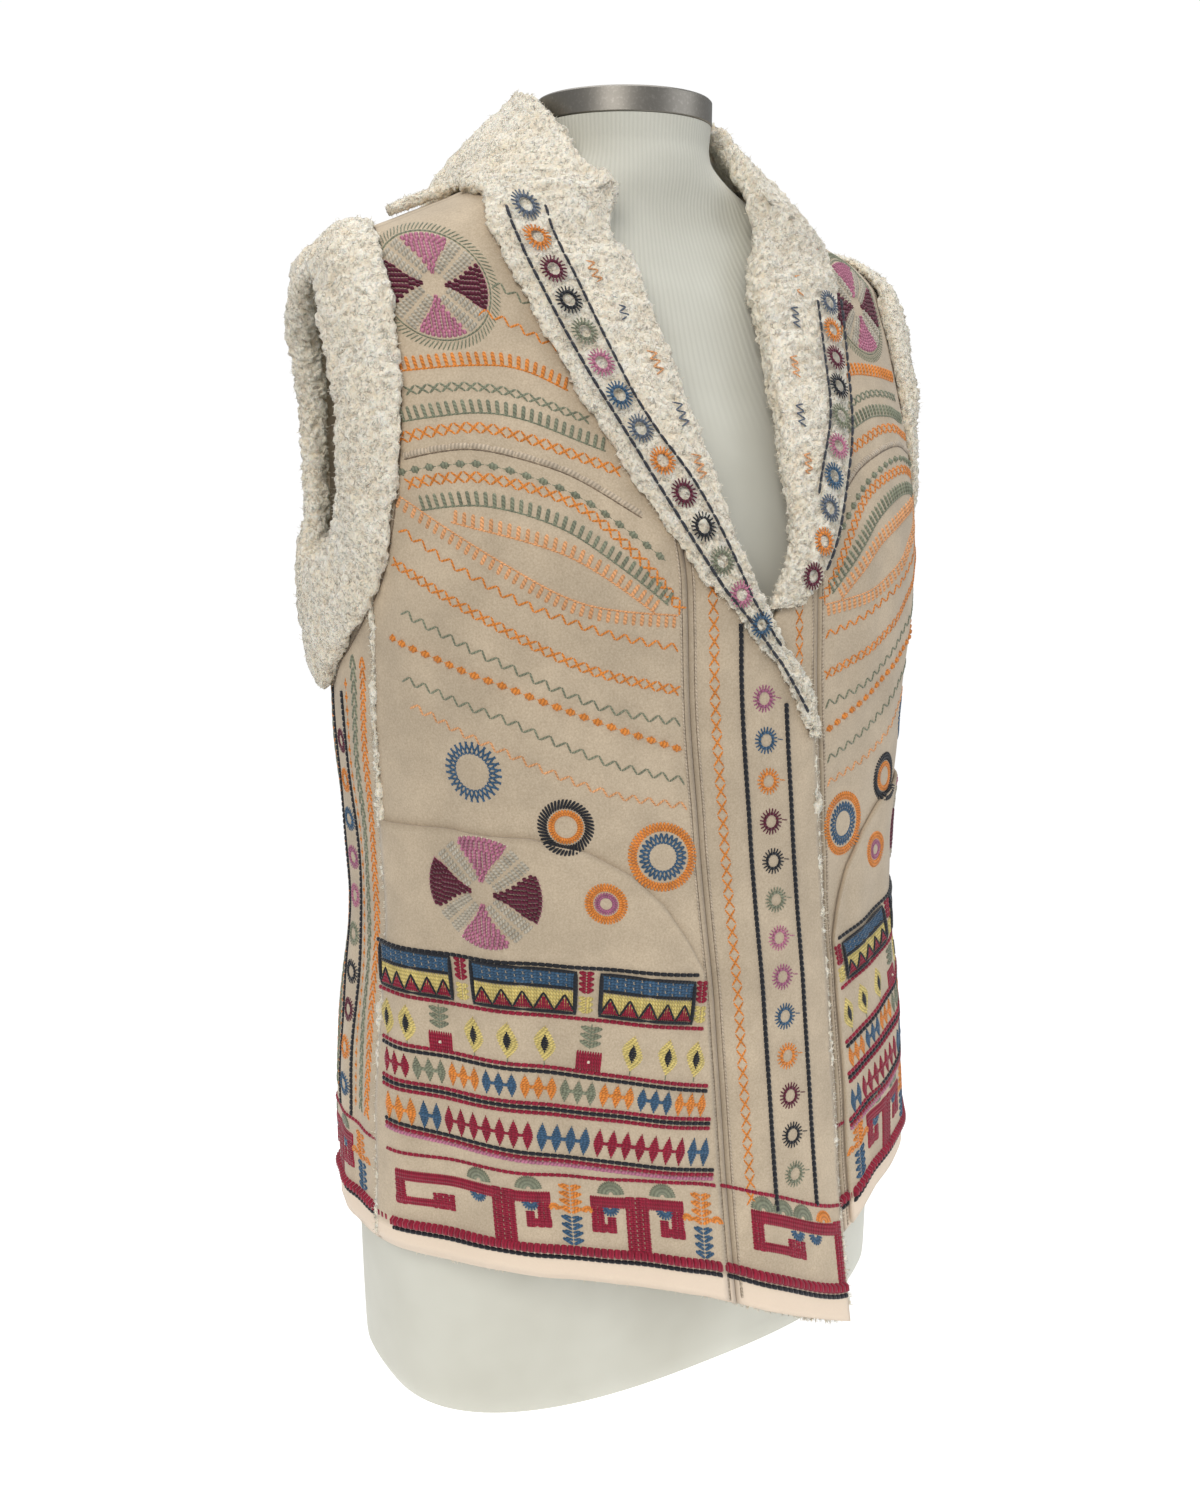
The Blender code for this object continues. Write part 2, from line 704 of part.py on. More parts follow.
def make_cap():
    """The steel cap on the form's neck."""
    bpy.ops.mesh.primitive_cylinder_add(
        vertices=48,
        radius=NECK_RADIUS + CAP_LIP,
        depth=CAP_HEIGHT,
        location=(0.0, NECK_Y, NECK_TOP + 0.0003 + CAP_HEIGHT / 2),
    )
    piece = bpy.context.active_object
    piece.name = "neck_cap"
    piece.data.name = "neck_cap"
    for collection in list(piece.users_collection):
        collection.objects.unlink(piece)
    bpy.data.collections[COLLECTION].objects.link(piece)
    piece.data.materials.append(material(STEEL))
    rounded = piece.modifiers.new("edge", "BEVEL")
    rounded.width = CAP_EDGE
    rounded.segments = 2
    rounded.limit_method = "ANGLE"
    return piece


def main():
    for old in list(bpy.data.objects):
        bpy.data.objects.remove(old)
    group = bpy.data.collections.new(COLLECTION)
    bpy.context.scene.collection.children.link(group)
    make_form()
    make_cap()
    make_back()
    for side, name in ((1, "right"), (-1, "left")):
        make_front(side, f"front_{name}")
        make_band(side, f"band_{name}")
        make_side(side, f"side_{name}")
        make_pocket(side, f"pocket_{name}")
        make_collar(side, f"collar_{name}")
        make_armband(side, f"armband_{name}")
        make_shoulder_roll(side, f"shoulder_roll_{name}")


main()
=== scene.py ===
"""A sleeveless folk vest of embroidered, pile-lined suede on a limbless dress form.

Metres, +Z up. The front faces -Y and the wearer's right is -X. The cloth follows one body
surface, measured by a turn from the centre front and a height; threads lie on that cloth.
"""

import math

import bmesh
import bpy
import numpy as np
from mathutils import Matrix, Vector


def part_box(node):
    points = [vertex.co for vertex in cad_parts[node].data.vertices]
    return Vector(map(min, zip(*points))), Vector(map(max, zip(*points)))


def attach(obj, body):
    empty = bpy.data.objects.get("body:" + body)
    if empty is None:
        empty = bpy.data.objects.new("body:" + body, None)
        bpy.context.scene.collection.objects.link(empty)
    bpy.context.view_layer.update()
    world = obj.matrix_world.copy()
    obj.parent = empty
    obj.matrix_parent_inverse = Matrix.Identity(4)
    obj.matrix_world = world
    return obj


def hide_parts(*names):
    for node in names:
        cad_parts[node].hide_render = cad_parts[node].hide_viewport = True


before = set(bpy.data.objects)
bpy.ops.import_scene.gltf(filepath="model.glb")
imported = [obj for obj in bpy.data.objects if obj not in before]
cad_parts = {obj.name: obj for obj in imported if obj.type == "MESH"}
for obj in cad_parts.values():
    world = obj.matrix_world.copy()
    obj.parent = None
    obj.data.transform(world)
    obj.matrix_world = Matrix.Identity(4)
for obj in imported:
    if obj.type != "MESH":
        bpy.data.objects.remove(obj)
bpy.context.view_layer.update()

WALL = 0.0035
SEAM_GAP = 0.0006
PATCH_WALL = 0.0020
PATCH_LIFT = 0.0007
NECK_Y = 0.0080
NECK_TOP = 0.7885
SHOULDER_DROP = 0.0056
SHOULDER_EASE = 0.0080
SHOULDER_TIP = 0.6960
FORM_TIP_EASE = 0.0140
GROOVE_RIGHT = 0.042
GROOVE_LEFT = 0.050
FRONT_EDGE = 0.042
UNDERLAP = 0.018
OVERLAP_LIFT = 0.0048
OVERLAP_RAMP = math.radians(7.0)
BAND_TOP = 0.5650
GROOVE_TOP = 0.5690
SIDE_SEAM_TURN = math.radians(79.0)
BACK_SEAM_TURN = math.radians(114.0)
SHOULDER_TURN = math.radians(90.0)
CHEST = 0.4
SHOULDER = 0.73
HEM_LEVEL = 0.11

# Each row: height, half width, depth in front, depth behind, squareness
VEST_SECTIONS = (
    (0.040, 0.206, 0.186, 0.136, 2.00),
    (0.110, 0.204, 0.173, 0.135, 2.00),
    (0.200, 0.202, 0.160, 0.133, 2.05),
    (0.330, 0.190, 0.147, 0.124, 2.10),
    (0.430, 0.195, 0.148, 0.126, 2.20),
    (0.520, 0.199, 0.145, 0.127, 2.30),
    (0.600, 0.204, 0.118, 0.125, 2.30),
    (0.660, 0.206, 0.092, 0.113, 2.20),
    (0.696, 0.203, 0.077, 0.094, 2.05),
    (0.712, 0.187, 0.070, 0.085, 2.00),
    (0.728, 0.150, 0.066, 0.078, 2.00),
    (0.750, 0.098, 0.060, 0.070, 2.00),
    (0.765, 0.075, 0.058, 0.066, 2.00),
)

# Each row: height, half width, depth in front, depth behind, squareness
FORM_SECTIONS = (
    (0.000, 0.185, 0.101, 0.101, 2.60),
    (0.012, 0.190, 0.105, 0.106, 2.60),
    (0.100, 0.191, 0.105, 0.109, 2.60),
    (0.200, 0.178, 0.104, 0.108, 2.50),
    (0.320, 0.140, 0.095, 0.088, 2.20),
    (0.420, 0.150, 0.106, 0.098, 2.20),
    (0.500, 0.161, 0.124, 0.105, 2.20),
    (0.580, 0.168, 0.106, 0.108, 2.30),
    (0.640, 0.175, 0.084, 0.098, 2.20),
)
NECK_SECTIONS = ((0.7600, 0.0560), (0.7720, 0.0525), (0.7885, 0.0537))

# Each row: height, backward lean, lean towards the wearer's right
LEAN = (
    (0.000, 0.000, 0.001),
    (0.200, 0.000, 0.003),
    (0.400, 0.000, 0.004),
    (0.520, 0.000, 0.001),
    (0.700, 0.011, 0.000),
    (0.765, 0.014, 0.000),
)
CENTRE_SHIFT = (
    (0.040, -0.010),
    (0.270, -0.010),
    (0.380, 0.000),
    (0.480, 0.010),
    (0.600, 0.012),
)

# Each row: turn from the centre front in degrees, height of the hem
HEM_RIGHT = (
    (-18.0, 0.0520),
    (-13.0, 0.0560),
    (3.0, 0.0820),
    (17.0, 0.1040),
    (28.0, 0.1140),
    (42.0, 0.1200),
    (58.0, 0.1215),
    (79.0, 0.1185),
    (114.0, 0.1180),
)
HEM_LEFT = (
    (-18.0, 0.1010),
    (3.0, 0.1020),
    (17.0, 0.1080),
    (28.0, 0.1200),
    (42.0, 0.1240),
    (58.0, 0.1225),
    (79.0, 0.1185),
    (114.0, 0.1180),
)

# Each row: height, roll line and outer edge along the cloth from the centre front
LAPEL = (
    (0.430, -0.0397, -0.0317),
    (0.458, -0.0290, -0.0150),
    (0.486, -0.0090, 0.0080),
    (0.506, 0.0030, 0.0250),
    (0.530, 0.0140, 0.0460),
    (0.560, 0.0240, 0.0650),
    (0.595, 0.0290, 0.0820),
    (0.635, 0.0350, 0.0980),
    (0.675, 0.0410, 0.1110),
    (0.708, 0.0490, 0.1190),
)
LEFT_LAPEL_START = 3
LAPEL_RETURN = 0.30
LAPEL_FULL_WIDTH = 0.022
STAND_RETURN = 0.026

# Each row: turn and height of the neckline, turn and height of the collar's edge,
# radius and height of the collar's roll; turns in degrees
COLLAR_STAND = (
    (44.0, 0.7420, 56.0, 0.7335, 0.0800, 0.7530),
    (64.0, 0.7520, 77.0, 0.7410, 0.0650, 0.7800),
    (90.0, 0.7570, 93.0, 0.7445, 0.0610, 0.8000),
    (118.0, 0.7550, 115.0, 0.7370, 0.0610, 0.8080),
    (148.0, 0.7500, 146.0, 0.7220, 0.0610, 0.8110),
    (180.0, 0.7480, 180.0, 0.7150, 0.0610, 0.8110),
)

# Each row: turn and height of the cut edge, turn and height of the band's outer edge
ARMHOLE = (
    (90.0, 0.7090, 91.0, 0.7200),
    (80.0, 0.6940, 69.5, 0.7110),
    (75.0, 0.6640, 60.5, 0.6880),
    (74.0, 0.6340, 59.5, 0.6520),
    (75.5, 0.6040, 61.5, 0.6170),
    (79.0, 0.5700, 67.0, 0.5700),
    (84.0, 0.5440, 75.0, 0.5240),
    (91.0, 0.5260, 87.0, 0.4860),
    (99.0, 0.5200, 101.0, 0.4560),
    (107.0, 0.5280, 115.0, 0.4840),
    (114.0, 0.5490, 126.0, 0.5240),
    (119.0, 0.5800, 132.0, 0.5760),
    (121.0, 0.6130, 135.0, 0.6200),
    (120.0, 0.6420, 135.0, 0.6560),
    (115.0, 0.6680, 131.0, 0.6900),
    (103.0, 0.6940, 115.0, 0.7115),
)
SIDE_SEAM_ROW = 5
BACK_SEAM_ROW = 10
ARMBAND_RETURN = 0.0150
ARMBAND_FULLNESS = 1.45

# Each row: distance past the groove seam, height of the pocket's edge
POCKET_EDGE = (
    (0.0060, 0.2960),
    (0.0140, 0.3160),
    (0.0260, 0.3390),
    (0.0440, 0.3590),
    (0.0680, 0.3740),
    (0.0980, 0.3825),
    (0.1430, 0.3850),
    (0.2100, 0.3840),
)
POCKET_HEM = 0.004
POCKET_MARGIN = 0.006

PILE_CLEARANCE = 0.0019
PILE_HEIGHT = 0.0118

# Section of a turned-out pile edge: share towards the cut edge, share of the return past
# it, height off the cloth
PILE_SECTION = (
    (0.03, 0.00, 0.0009),
    (0.27, 0.00, 0.0012),
    (0.51, 0.00, 0.0013),
    (0.75, 0.00, 0.0013),
    (1.00, 0.00, 0.0013),
    (1.00, 0.00, -0.0034),
    (1.00, 0.55, -0.0034),
    (1.00, 1.00, 0.0022),
    (1.00, 0.65, 0.0092),
    (0.80, 0.00, PILE_HEIGHT),
    (0.40, 0.00, 0.0112),
    (0.00, 0.00, 0.0062),
)
PILE_FULL_WIDTH = 0.045
LEAST_SWELL = 0.45

# Soft folds. Each row: turn and height of one end, turn and height of the
# other, half width, height of the ridge (negative for a trough); turns in degrees, with
# the wearer's right positive
FOLDS = (
    (64.0, 0.480, 58.0, 0.150, 0.016, -0.0032),
    (50.0, 0.400, 46.0, 0.130, 0.024, 0.0022),
    (33.0, 0.470, 26.0, 0.300, 0.018, -0.0014),
    (20.0, 0.330, 17.0, 0.110, 0.022, 0.0016),
    (70.0, 0.300, 74.0, 0.110, 0.014, 0.0020),
    (-58.0, 0.460, -62.0, 0.160, 0.018, -0.0030),
    (-44.0, 0.430, -40.0, 0.150, 0.022, 0.0020),
    (-26.0, 0.440, -20.0, 0.260, 0.016, -0.0012),
    (-72.0, 0.330, -76.0, 0.120, 0.015, 0.0018),
    (92.0, 0.420, 88.0, 0.150, 0.015, -0.0024),
    (-90.0, 0.430, -94.0, 0.160, 0.016, -0.0024),
    (106.0, 0.300, 108.0, 0.120, 0.014, 0.0016),
    (-106.0, 0.320, -104.0, 0.130, 0.014, 0.0016),
    (132.0, 0.440, 126.0, 0.140, 0.022, -0.0034),
    (148.0, 0.400, 145.0, 0.130, 0.026, 0.0026),
    (166.0, 0.430, 163.0, 0.190, 0.020, -0.0026),
    (180.0, 0.330, 178.0, 0.130, 0.024, 0.0022),
    (-134.0, 0.430, -128.0, 0.150, 0.020, -0.0034),
    (-150.0, 0.420, -149.0, 0.140, 0.024, 0.0026),
    (-168.0, 0.440, -165.0, 0.180, 0.018, -0.0022),
    (150.0, 0.520, 172.0, 0.470, 0.014, -0.0018),
    (-146.0, 0.530, -170.0, 0.480, 0.014, -0.0018),
    (52.0, 0.610, 34.0, 0.520, 0.022, 0.0014),
    (-50.0, 0.610, -34.0, 0.530, 0.022, 0.0014),
)

# Thread dyes
DYES = {
    "orange": (0.76, 0.255, 0.040),
    "peach": (0.80, 0.39, 0.170),
    "sage": (0.235, 0.250, 0.170),
    "blue": (0.043, 0.110, 0.200),
    "black": (0.012, 0.014, 0.020),
    "crimson": (0.310, 0.007, 0.034),
    "maroon": (0.120, 0.010, 0.032),
    "pink": (0.52, 0.185, 0.285),
    "mauve": (0.40, 0.130, 0.230),
    "yellow": (0.72, 0.58, 0.200),
    "greyblue": (0.110, 0.140, 0.190),
    "slate": (0.035, 0.038, 0.050),
    "shadow": (0.230, 0.170, 0.115),
    "suede": (0.56, 0.46, 0.345),
    "cream": (0.80, 0.71, 0.56),
    "wool": (0.50, 0.45, 0.36),
}


def smooth(rows, column, at):
    """The value of a table's column at a point, on a smooth curve with no overshoot."""
    table = np.asarray(rows, float)
    x, y = table[:, 0], table[:, column]
    step = np.diff(x)
    rise = np.diff(y) / step
    slope = np.zeros_like(y)
    slope[0], slope[-1] = rise[0], rise[-1]
    for i in range(1, len(x) - 1):
        if rise[i - 1] * rise[i] > 0:
            before, after = step[i - 1], step[i]
            weight = (before + 2 * after) / rise[i - 1] + (2 * before + after) / rise[i]
            slope[i] = 3 * (before + after) / weight
    at = np.clip(np.asarray(at, float), x[0], x[-1])
    i = np.clip(np.searchsorted(x, at) - 1, 0, len(x) - 2)
    t = (at - x[i]) / step[i]
    start = (1 + 2 * t) * (1 - t) ** 2 * y[i] + t * (1 - t) ** 2 * step[i] * slope[i]
    end = t * t * (3 - 2 * t) * y[i + 1] + t * t * (t - 1) * step[i] * slope[i + 1]
    return start + end


def ease(share):
    """A smooth step from 0 to 1."""
    share = np.clip(share, 0.0, 1.0)
    return share * share * (3 - 2 * share)


def outline(turn, height):
    """A point of the vest's body surface: turn is in radians from the centre front."""
    turn, height = np.broadcast_arrays(np.asarray(turn, float), np.asarray(height, float))
    width, front, back, square = (smooth(VEST_SECTIONS, k, height) for k in (1, 2, 3, 4))
    across, ahead = np.sin(turn), np.cos(turn)
    depth = np.where(ahead > 0, front, back)
    x = -width * np.sign(across) * np.abs(across) ** (2 / square)
    y = smooth(LEAN, 1, height) - depth * np.sign(ahead) * np.abs(ahead) ** (2 / square)
    return np.stack([x, y, height], -1)


def cloth(turn, height, out=0.0):
    """A point on the body surface, moved out along the surface's normal."""
    reach, rise = math.radians(1.0), 0.002
    around = outline(turn + reach, height) - outline(turn - reach, height)
    upward = outline(turn, height + rise) - outline(turn, height - rise)
    normal = np.cross(upward, around)
    normal /= np.linalg.norm(normal, axis=-1, keepdims=True)
    return outline(turn, height) + normal * np.asarray(out, float)[..., None]


BODY_REACH = 0.17
SIDE_REACH = 0.19
BACK_REACH = 0.16
EDGE_REACH = 0.168
LEVELS = np.linspace(0.030, 0.770, 149)
REACHES = np.linspace(0.0, 0.64, 321)


def turn_rows():
    """For each level, the turn that is reached at each distance along the cloth."""
    steps = np.linspace(0, math.pi, 181)
    rows = []
    for level in LEVELS:
        ring = outline(steps, level)
        lengths = np.linalg.norm(np.diff(ring, axis=0), axis=1)
        rows.append(np.interp(REACHES, np.concatenate([[0.0], np.cumsum(lengths)]), steps))
    return np.array(rows)


TURN_ROWS = turn_rows()


def turn_at(along, height):
    """The turn at a distance along the cloth from the centre front."""
    along, height = np.broadcast_arrays(np.asarray(along, float), np.asarray(height, float))
    row = np.clip((height - LEVELS[0]) / (LEVELS[1] - LEVELS[0]), 0, len(LEVELS) - 1.001)
    column = np.clip(np.abs(along) / REACHES[1], 0, len(REACHES) - 1.001)
    i, j = row.astype(int), column.astype(int)
    f, g = row - i, column - j
    low = TURN_ROWS[i, j] * (1 - g) + TURN_ROWS[i, j + 1] * g
    high = TURN_ROWS[i + 1, j] * (1 - g) + TURN_ROWS[i + 1, j + 1] * g
    return np.sign(along) * (low * (1 - f) + high * f)


def groove_along(side, height):
    """How far from the centre front the seam between a front and its band lies."""
    shift = smooth(CENTRE_SHIFT, 1, height)
    return GROOVE_RIGHT + shift if side > 0 else GROOVE_LEFT - shift


def groove_turn(side, height, past=0.0):
    """The turn of the groove seam, or of a line a little past it."""
    return turn_at(groove_along(side, height) + past, height)


def hem_height(side, turn):
    """The height of the hem at a turn, on the wearer's right (1) or left (-1)."""
    return smooth(HEM_RIGHT if side > 0 else HEM_LEFT, 1, np.degrees(turn))


def lapel_cut(height):
    """How far from the centre front the cloth's edge lies under the lapel's roll."""
    roll, edge = (smooth(LAPEL, k, height) for k in (1, 2))
    return roll + LAPEL_RETURN * np.minimum(edge - roll, LAPEL_FULL_WIDTH)


def overlap_lift(side, turn, height):
    """How far the right front band rises to pass over the left one."""
    if side < 0:
        return 0.0 * turn
    past = (groove_turn(1, height) - turn) / OVERLAP_RAMP
    return OVERLAP_LIFT * ease(past) * (1 - ease((height - 0.490) / 0.060))


def drape(side, turn, height):
    """How far the cloth stands out or sinks in its folds; the closed front stays flat."""
    turn = (side * np.asarray(turn, float) + math.pi) % (2 * math.pi) - math.pi
    total = 0.0 * turn
    for start, low, end, high, width, rise in FOLDS:
        a = np.array([math.radians(start) * BODY_REACH, low])
        b = np.array([math.radians(end) * BODY_REACH, high])
        away = (turn - math.radians(start) + math.pi) % (2 * math.pi) - math.pi
        x, y = away * BODY_REACH, height - low
        line = b - a
        share = (x * line[0] + y * line[1]) / (line @ line)
        off = (x * line[1] - y * line[0]) / math.hypot(*line)
        ends = ease((share + 0.12) / 0.30) * ease((1.15 - share) / 0.20)
        total = total + rise * np.exp(-((off / width) ** 2)) * ends
    ripple = 0.0007 * np.sin(turn * 23.0 + height * 31.0) * np.sin(height * 47.0 - turn * 5.0)
    calm = ease((np.abs(turn) - math.radians(9.0)) / math.radians(8.0))
    return (total + ripple) * calm * (1 - ease((height - 0.60) / 0.06))


def bend(before, a, b, after, f):
    """The place at a share of the way from a to b, on a smooth curve past its neighbours."""
    enter, leave = (b - before) / 2, (after - a) / 2
    start = (1 + 2 * f) * (1 - f) ** 2 * a + f * (1 - f) ** 2 * enter
    return start + f * f * (3 - 2 * f) * b + f * f * (f - 1) * leave


def spline(points, t):
    """A point on a smooth curve through points; t counts from one point to the next."""
    i = min(int(t), len(points) - 2)
    a, b = points[i], points[i + 1]
    before = points[i - 1] if i > 0 else 2 * a - b
    after = points[i + 2] if i + 2 < len(points) else 2 * b - a
    return bend(before, a, b, after, t - i)


def armhole(row):
    """Cut edge and outer edge of an armband, as turns and heights, at a table row."""
    table = np.asarray(ARMHOLE, float)
    i = int(math.floor(row))
    near = [table[(i + k) % len(table)] for k in (-1, 0, 1, 2)]
    turn, height, edge_turn, edge_height = spline(near, 1 + row - i)
    return (math.radians(turn), height), (math.radians(edge_turn), edge_height)


def armhole_cut(first, last):
    """The cut edge of the armhole between two rows of its table."""
    return [armhole(row)[0] for row in np.linspace(first, last, 3 * abs(last - first) + 1)]


def route(*legs):
    """A path of legs, each a number of rows and its points, as a function of 0 to 1."""
    total = sum(rows for rows, _ in legs)

    def place(t):
        row = t * total
        for rows, points in legs:
            if row <= rows + 1e-9:
                break
            row -= rows
        points = np.asarray(points, float)
        lengths = np.linalg.norm(np.diff(points * (BODY_REACH, 1.0), axis=0), axis=1)
        walked = np.concatenate([[0.0], np.cumsum(lengths)])
        at = min(row / rows, 1.0) * walked[-1]
        return np.array([np.interp(at, walked, points[:, k]) for k in (0, 1)])

    return place


def patch(bottom, top, left, right, columns, rows):
    """Turns and heights of a grid that is blended between four edges."""
    us, vs = np.linspace(0, 1, columns + 1), np.linspace(0, 1, rows + 1)
    low, high = (np.array([edge(u) for u in us])[:, None] for edge in (bottom, top))
    near, far = (np.array([edge(v) for v in vs])[None] for edge in (left, right))
    u, v = us[:, None, None], vs[None, :, None]
    base = (1 - u) * bottom(0) + u * bottom(1)
    head = (1 - u) * top(0) + u * top(1)
    grid = (1 - u) * near + u * far + (1 - v) * low + v * high - (1 - v) * base - v * head
    return grid[..., 0], grid[..., 1]


def sided(side, points):
    """Points of the vest's right-hand side, or their mirror image on the wearer's left."""
    x = side * points[..., 0] - smooth(LEAN, 2, points[..., 2])
    return np.stack([x, points[..., 1], points[..., 2]], -1)


def seam_margin(turn, height):
    """Half of a seam's gap, as a turn."""
    step = 0.01
    around = np.linalg.norm(outline(turn + step, height) - outline(turn, height), axis=-1)
    return 0.5 * SEAM_GAP / (around / step)


# Shader parts


def node_tree(name):
    """A new material with its Principled shader and a function that adds nodes to it."""
    made = bpy.data.materials.new(name)
    made.use_nodes = True
    tree = made.node_tree
    shader = tree.nodes["Principled BSDF"]

    def add(kind, **values):
        node = tree.nodes.new(kind)
        for key, value in values.items():
            if key in node.inputs:
                node.inputs[key].default_value = value
            else:
                setattr(node, key, value)
        return node

    return made, tree, shader, add


def set_inputs(node, **values):
    """Sets a node's inputs; an underscore in a name stands for a space."""
    for key, value in values.items():
        node.inputs[key.replace("_", " ")].default_value = value


def grain_group():
    """Shared noise: fine and coarse grain from one set of coordinates."""
    tree = bpy.data.node_groups.new("cloth_grain", "ShaderNodeTree")
    for name, way, kind in (("Vector", "INPUT", "Vector"), ("Fine size", "INPUT", "Float"),
                            ("Coarse size", "INPUT", "Float"), ("Fine", "OUTPUT", "Float"),
                            ("Coarse", "OUTPUT", "Float")):
        tree.interface.new_socket(name, in_out=way, socket_type=f"NodeSocket{kind}")
    enter = tree.nodes.new("NodeGroupInput")
    leave = tree.nodes.new("NodeGroupOutput")
    for index, size in enumerate(("Fine size", "Coarse size")):
        noise = tree.nodes.new("ShaderNodeTexNoise")
        set_inputs(noise, Detail=4.0 - index, Roughness=0.65)
        tree.links.new(enter.outputs["Vector"], noise.inputs["Vector"])
        tree.links.new(enter.outputs[size], noise.inputs["Scale"])
        tree.links.new(noise.outputs["Fac"], leave.inputs[index])
    return tree


GRAIN = grain_group()


def add_grain(tree, add, fine, coarse):
    """The shared grain, read from the object's own coordinates."""
    where = add("ShaderNodeTexCoord")
    grain = add("ShaderNodeGroup")
    grain.node_tree = GRAIN
    set_inputs(grain, Fine_size=fine, Coarse_size=coarse)
    tree.links.new(where.outputs["Object"], grain.inputs["Vector"])
    return where, grain


def ramp(add, stops):
    """A colour ramp between two places with their colours."""
    node = add("ShaderNodeValToRGB")
    for element, (place, colour) in zip(node.color_ramp.elements, stops):
        element.position = place
        element.color = (*colour, 1.0)
    return node


def blend_colour(tree, add, factor, first, second, mode="MIX"):
    """A colour mix; each input is a socket or a plain colour."""
    mix = add("ShaderNodeMix", data_type="RGBA", blend_type=mode)
    for slot, value in ((0, factor), (6, first), (7, second)):
        if isinstance(value, bpy.types.NodeSocket):
            tree.links.new(value, mix.inputs[slot])
        elif slot == 0:
            mix.inputs[slot].default_value = value
        else:
            mix.inputs[slot].default_value = (*value, 1.0)
    return mix.outputs[2]


def maths(tree, add, operation, *values):
    """A maths node's result; each value is a socket or a number."""
    node = add("ShaderNodeMath", operation=operation)
    for slot, value in enumerate(values):
        if isinstance(value, bpy.types.NodeSocket):
            tree.links.new(value, node.inputs[slot])
        else:
            node.inputs[slot].default_value = value
    return node.outputs[0]


def add_bump(tree, add, shader, layers):
    """Bumps one over the other; each layer is a socket, a strength and a distance."""
    normal = None
    for socket, strength, distance in layers:
        bump = add("ShaderNodeBump", Strength=strength, Distance=distance)
        tree.links.new(socket, bump.inputs["Height"])
        if normal is not None:
            tree.links.new(normal, bump.inputs["Normal"])
        normal = bump.outputs["Normal"]
    tree.links.new(normal, shader.inputs["Normal"])


def make_suede():
    """Napped beige suede, with painted shade in its seams, grooves and pocket rims, and paler on its bare
    hem.
    """
    made, tree, shader, add = node_tree("napped_suede")
    _, grain = add_grain(tree, add, 900.0, 26.0)
    mottle = ramp(add, [(0.30, (0.470, 0.375, 0.265)), (0.70, (0.620, 0.518, 0.383))])
    tree.links.new(grain.outputs["Fine"], mottle.inputs["Fac"])
    nap = ramp(add, [(0.35, (0.88, 0.87, 0.86)), (0.65, (1.06, 1.05, 1.04))])
    tree.links.new(grain.outputs["Coarse"], nap.inputs["Fac"])
    body = blend_colour(tree, add, 1.0, mottle.outputs["Color"], nap.outputs["Color"], "MULTIPLY")
    wear = add("ShaderNodeAttribute", attribute_name="bare")
    paler = blend_colour(tree, add, wear.outputs["Fac"], body, (0.86, 0.71, 0.565))
    # Painted shade: the "seam" values mix the suede towards dark brown in its seams, grooves and along the
    # pocket's rim.
    seam = add("ShaderNodeAttribute", attribute_name="seam")
    darker = blend_colour(tree, add, seam.outputs["Fac"], paler, (0.255, 0.195, 0.135))
    tree.links.new(darker, shader.inputs["Base Color"])
    set_inputs(shader, Roughness=0.93, Sheen_Weight=0.22, Sheen_Roughness=0.55, Specular_IOR_Level=0.18)
    add_bump(tree, add, shader, [
        (grain.outputs["Coarse"], 0.10, 0.002),
        (grain.outputs["Fine"], 0.35, 0.0006),
    ])
    return made


def make_pile():
    """Cream pile: fine curls over the modelled tufts, with painted shade deep between the tufts and
    between the curls.
    """
    made, tree, shader, add = node_tree("curled_pile")
    where, grain = add_grain(tree, add, 420.0, 60.0)
    curl = add("ShaderNodeTexVoronoi", Scale=330.0, feature="SMOOTH_F1", Smoothness=0.6)
    bend = add("ShaderNodeMix", data_type="VECTOR")
    bend.inputs[0].default_value = 0.012
    tree.links.new(where.outputs["Object"], bend.inputs[4])
    tree.links.new(grain.outputs["Fine"], bend.inputs[5])
    tree.links.new(bend.outputs[1], curl.inputs["Vector"])
    tint = ramp(add, [(0.30, (0.97, 0.895, 0.745)), (0.70, (1.0, 0.965, 0.865))])
    tree.links.new(grain.outputs["Coarse"], tint.inputs["Fac"])
    # Painted shade: points that lie deep between the tufts are mixed towards the deep colour.
    depth = add("ShaderNodeAttribute", attribute_name="hollow_shade")
    deep = (0.80, 0.68, 0.51)
    shaded = blend_colour(tree, add, depth.outputs["Fac"], tint.outputs["Color"], deep)
    # Painted shade between the curls: the colour dims towards the edge of each curl's cell.
    between = ramp(add, [(0.20, (1.0, 1.0, 1.0)), (0.80, (0.91, 0.87, 0.80))])
    tree.links.new(curl.outputs["Distance"], between.inputs["Fac"])
    colour = blend_colour(tree, add, 1.0, shaded, between.outputs["Color"], "MULTIPLY")
    tree.links.new(colour, shader.inputs["Base Color"])
    set_inputs(shader, Roughness=0.97, Sheen_Weight=0.35, Sheen_Roughness=0.5, Specular_IOR_Level=0.1,
               Subsurface_Weight=0.10, Subsurface_Radius=(0.006, 0.004, 0.003), Subsurface_Scale=0.6)
    add_bump(tree, add, shader, [
        (grain.outputs["Fine"], 0.75, 0.0012),
        (curl.outputs["Distance"], 0.85, -0.0014),
    ])
    return made


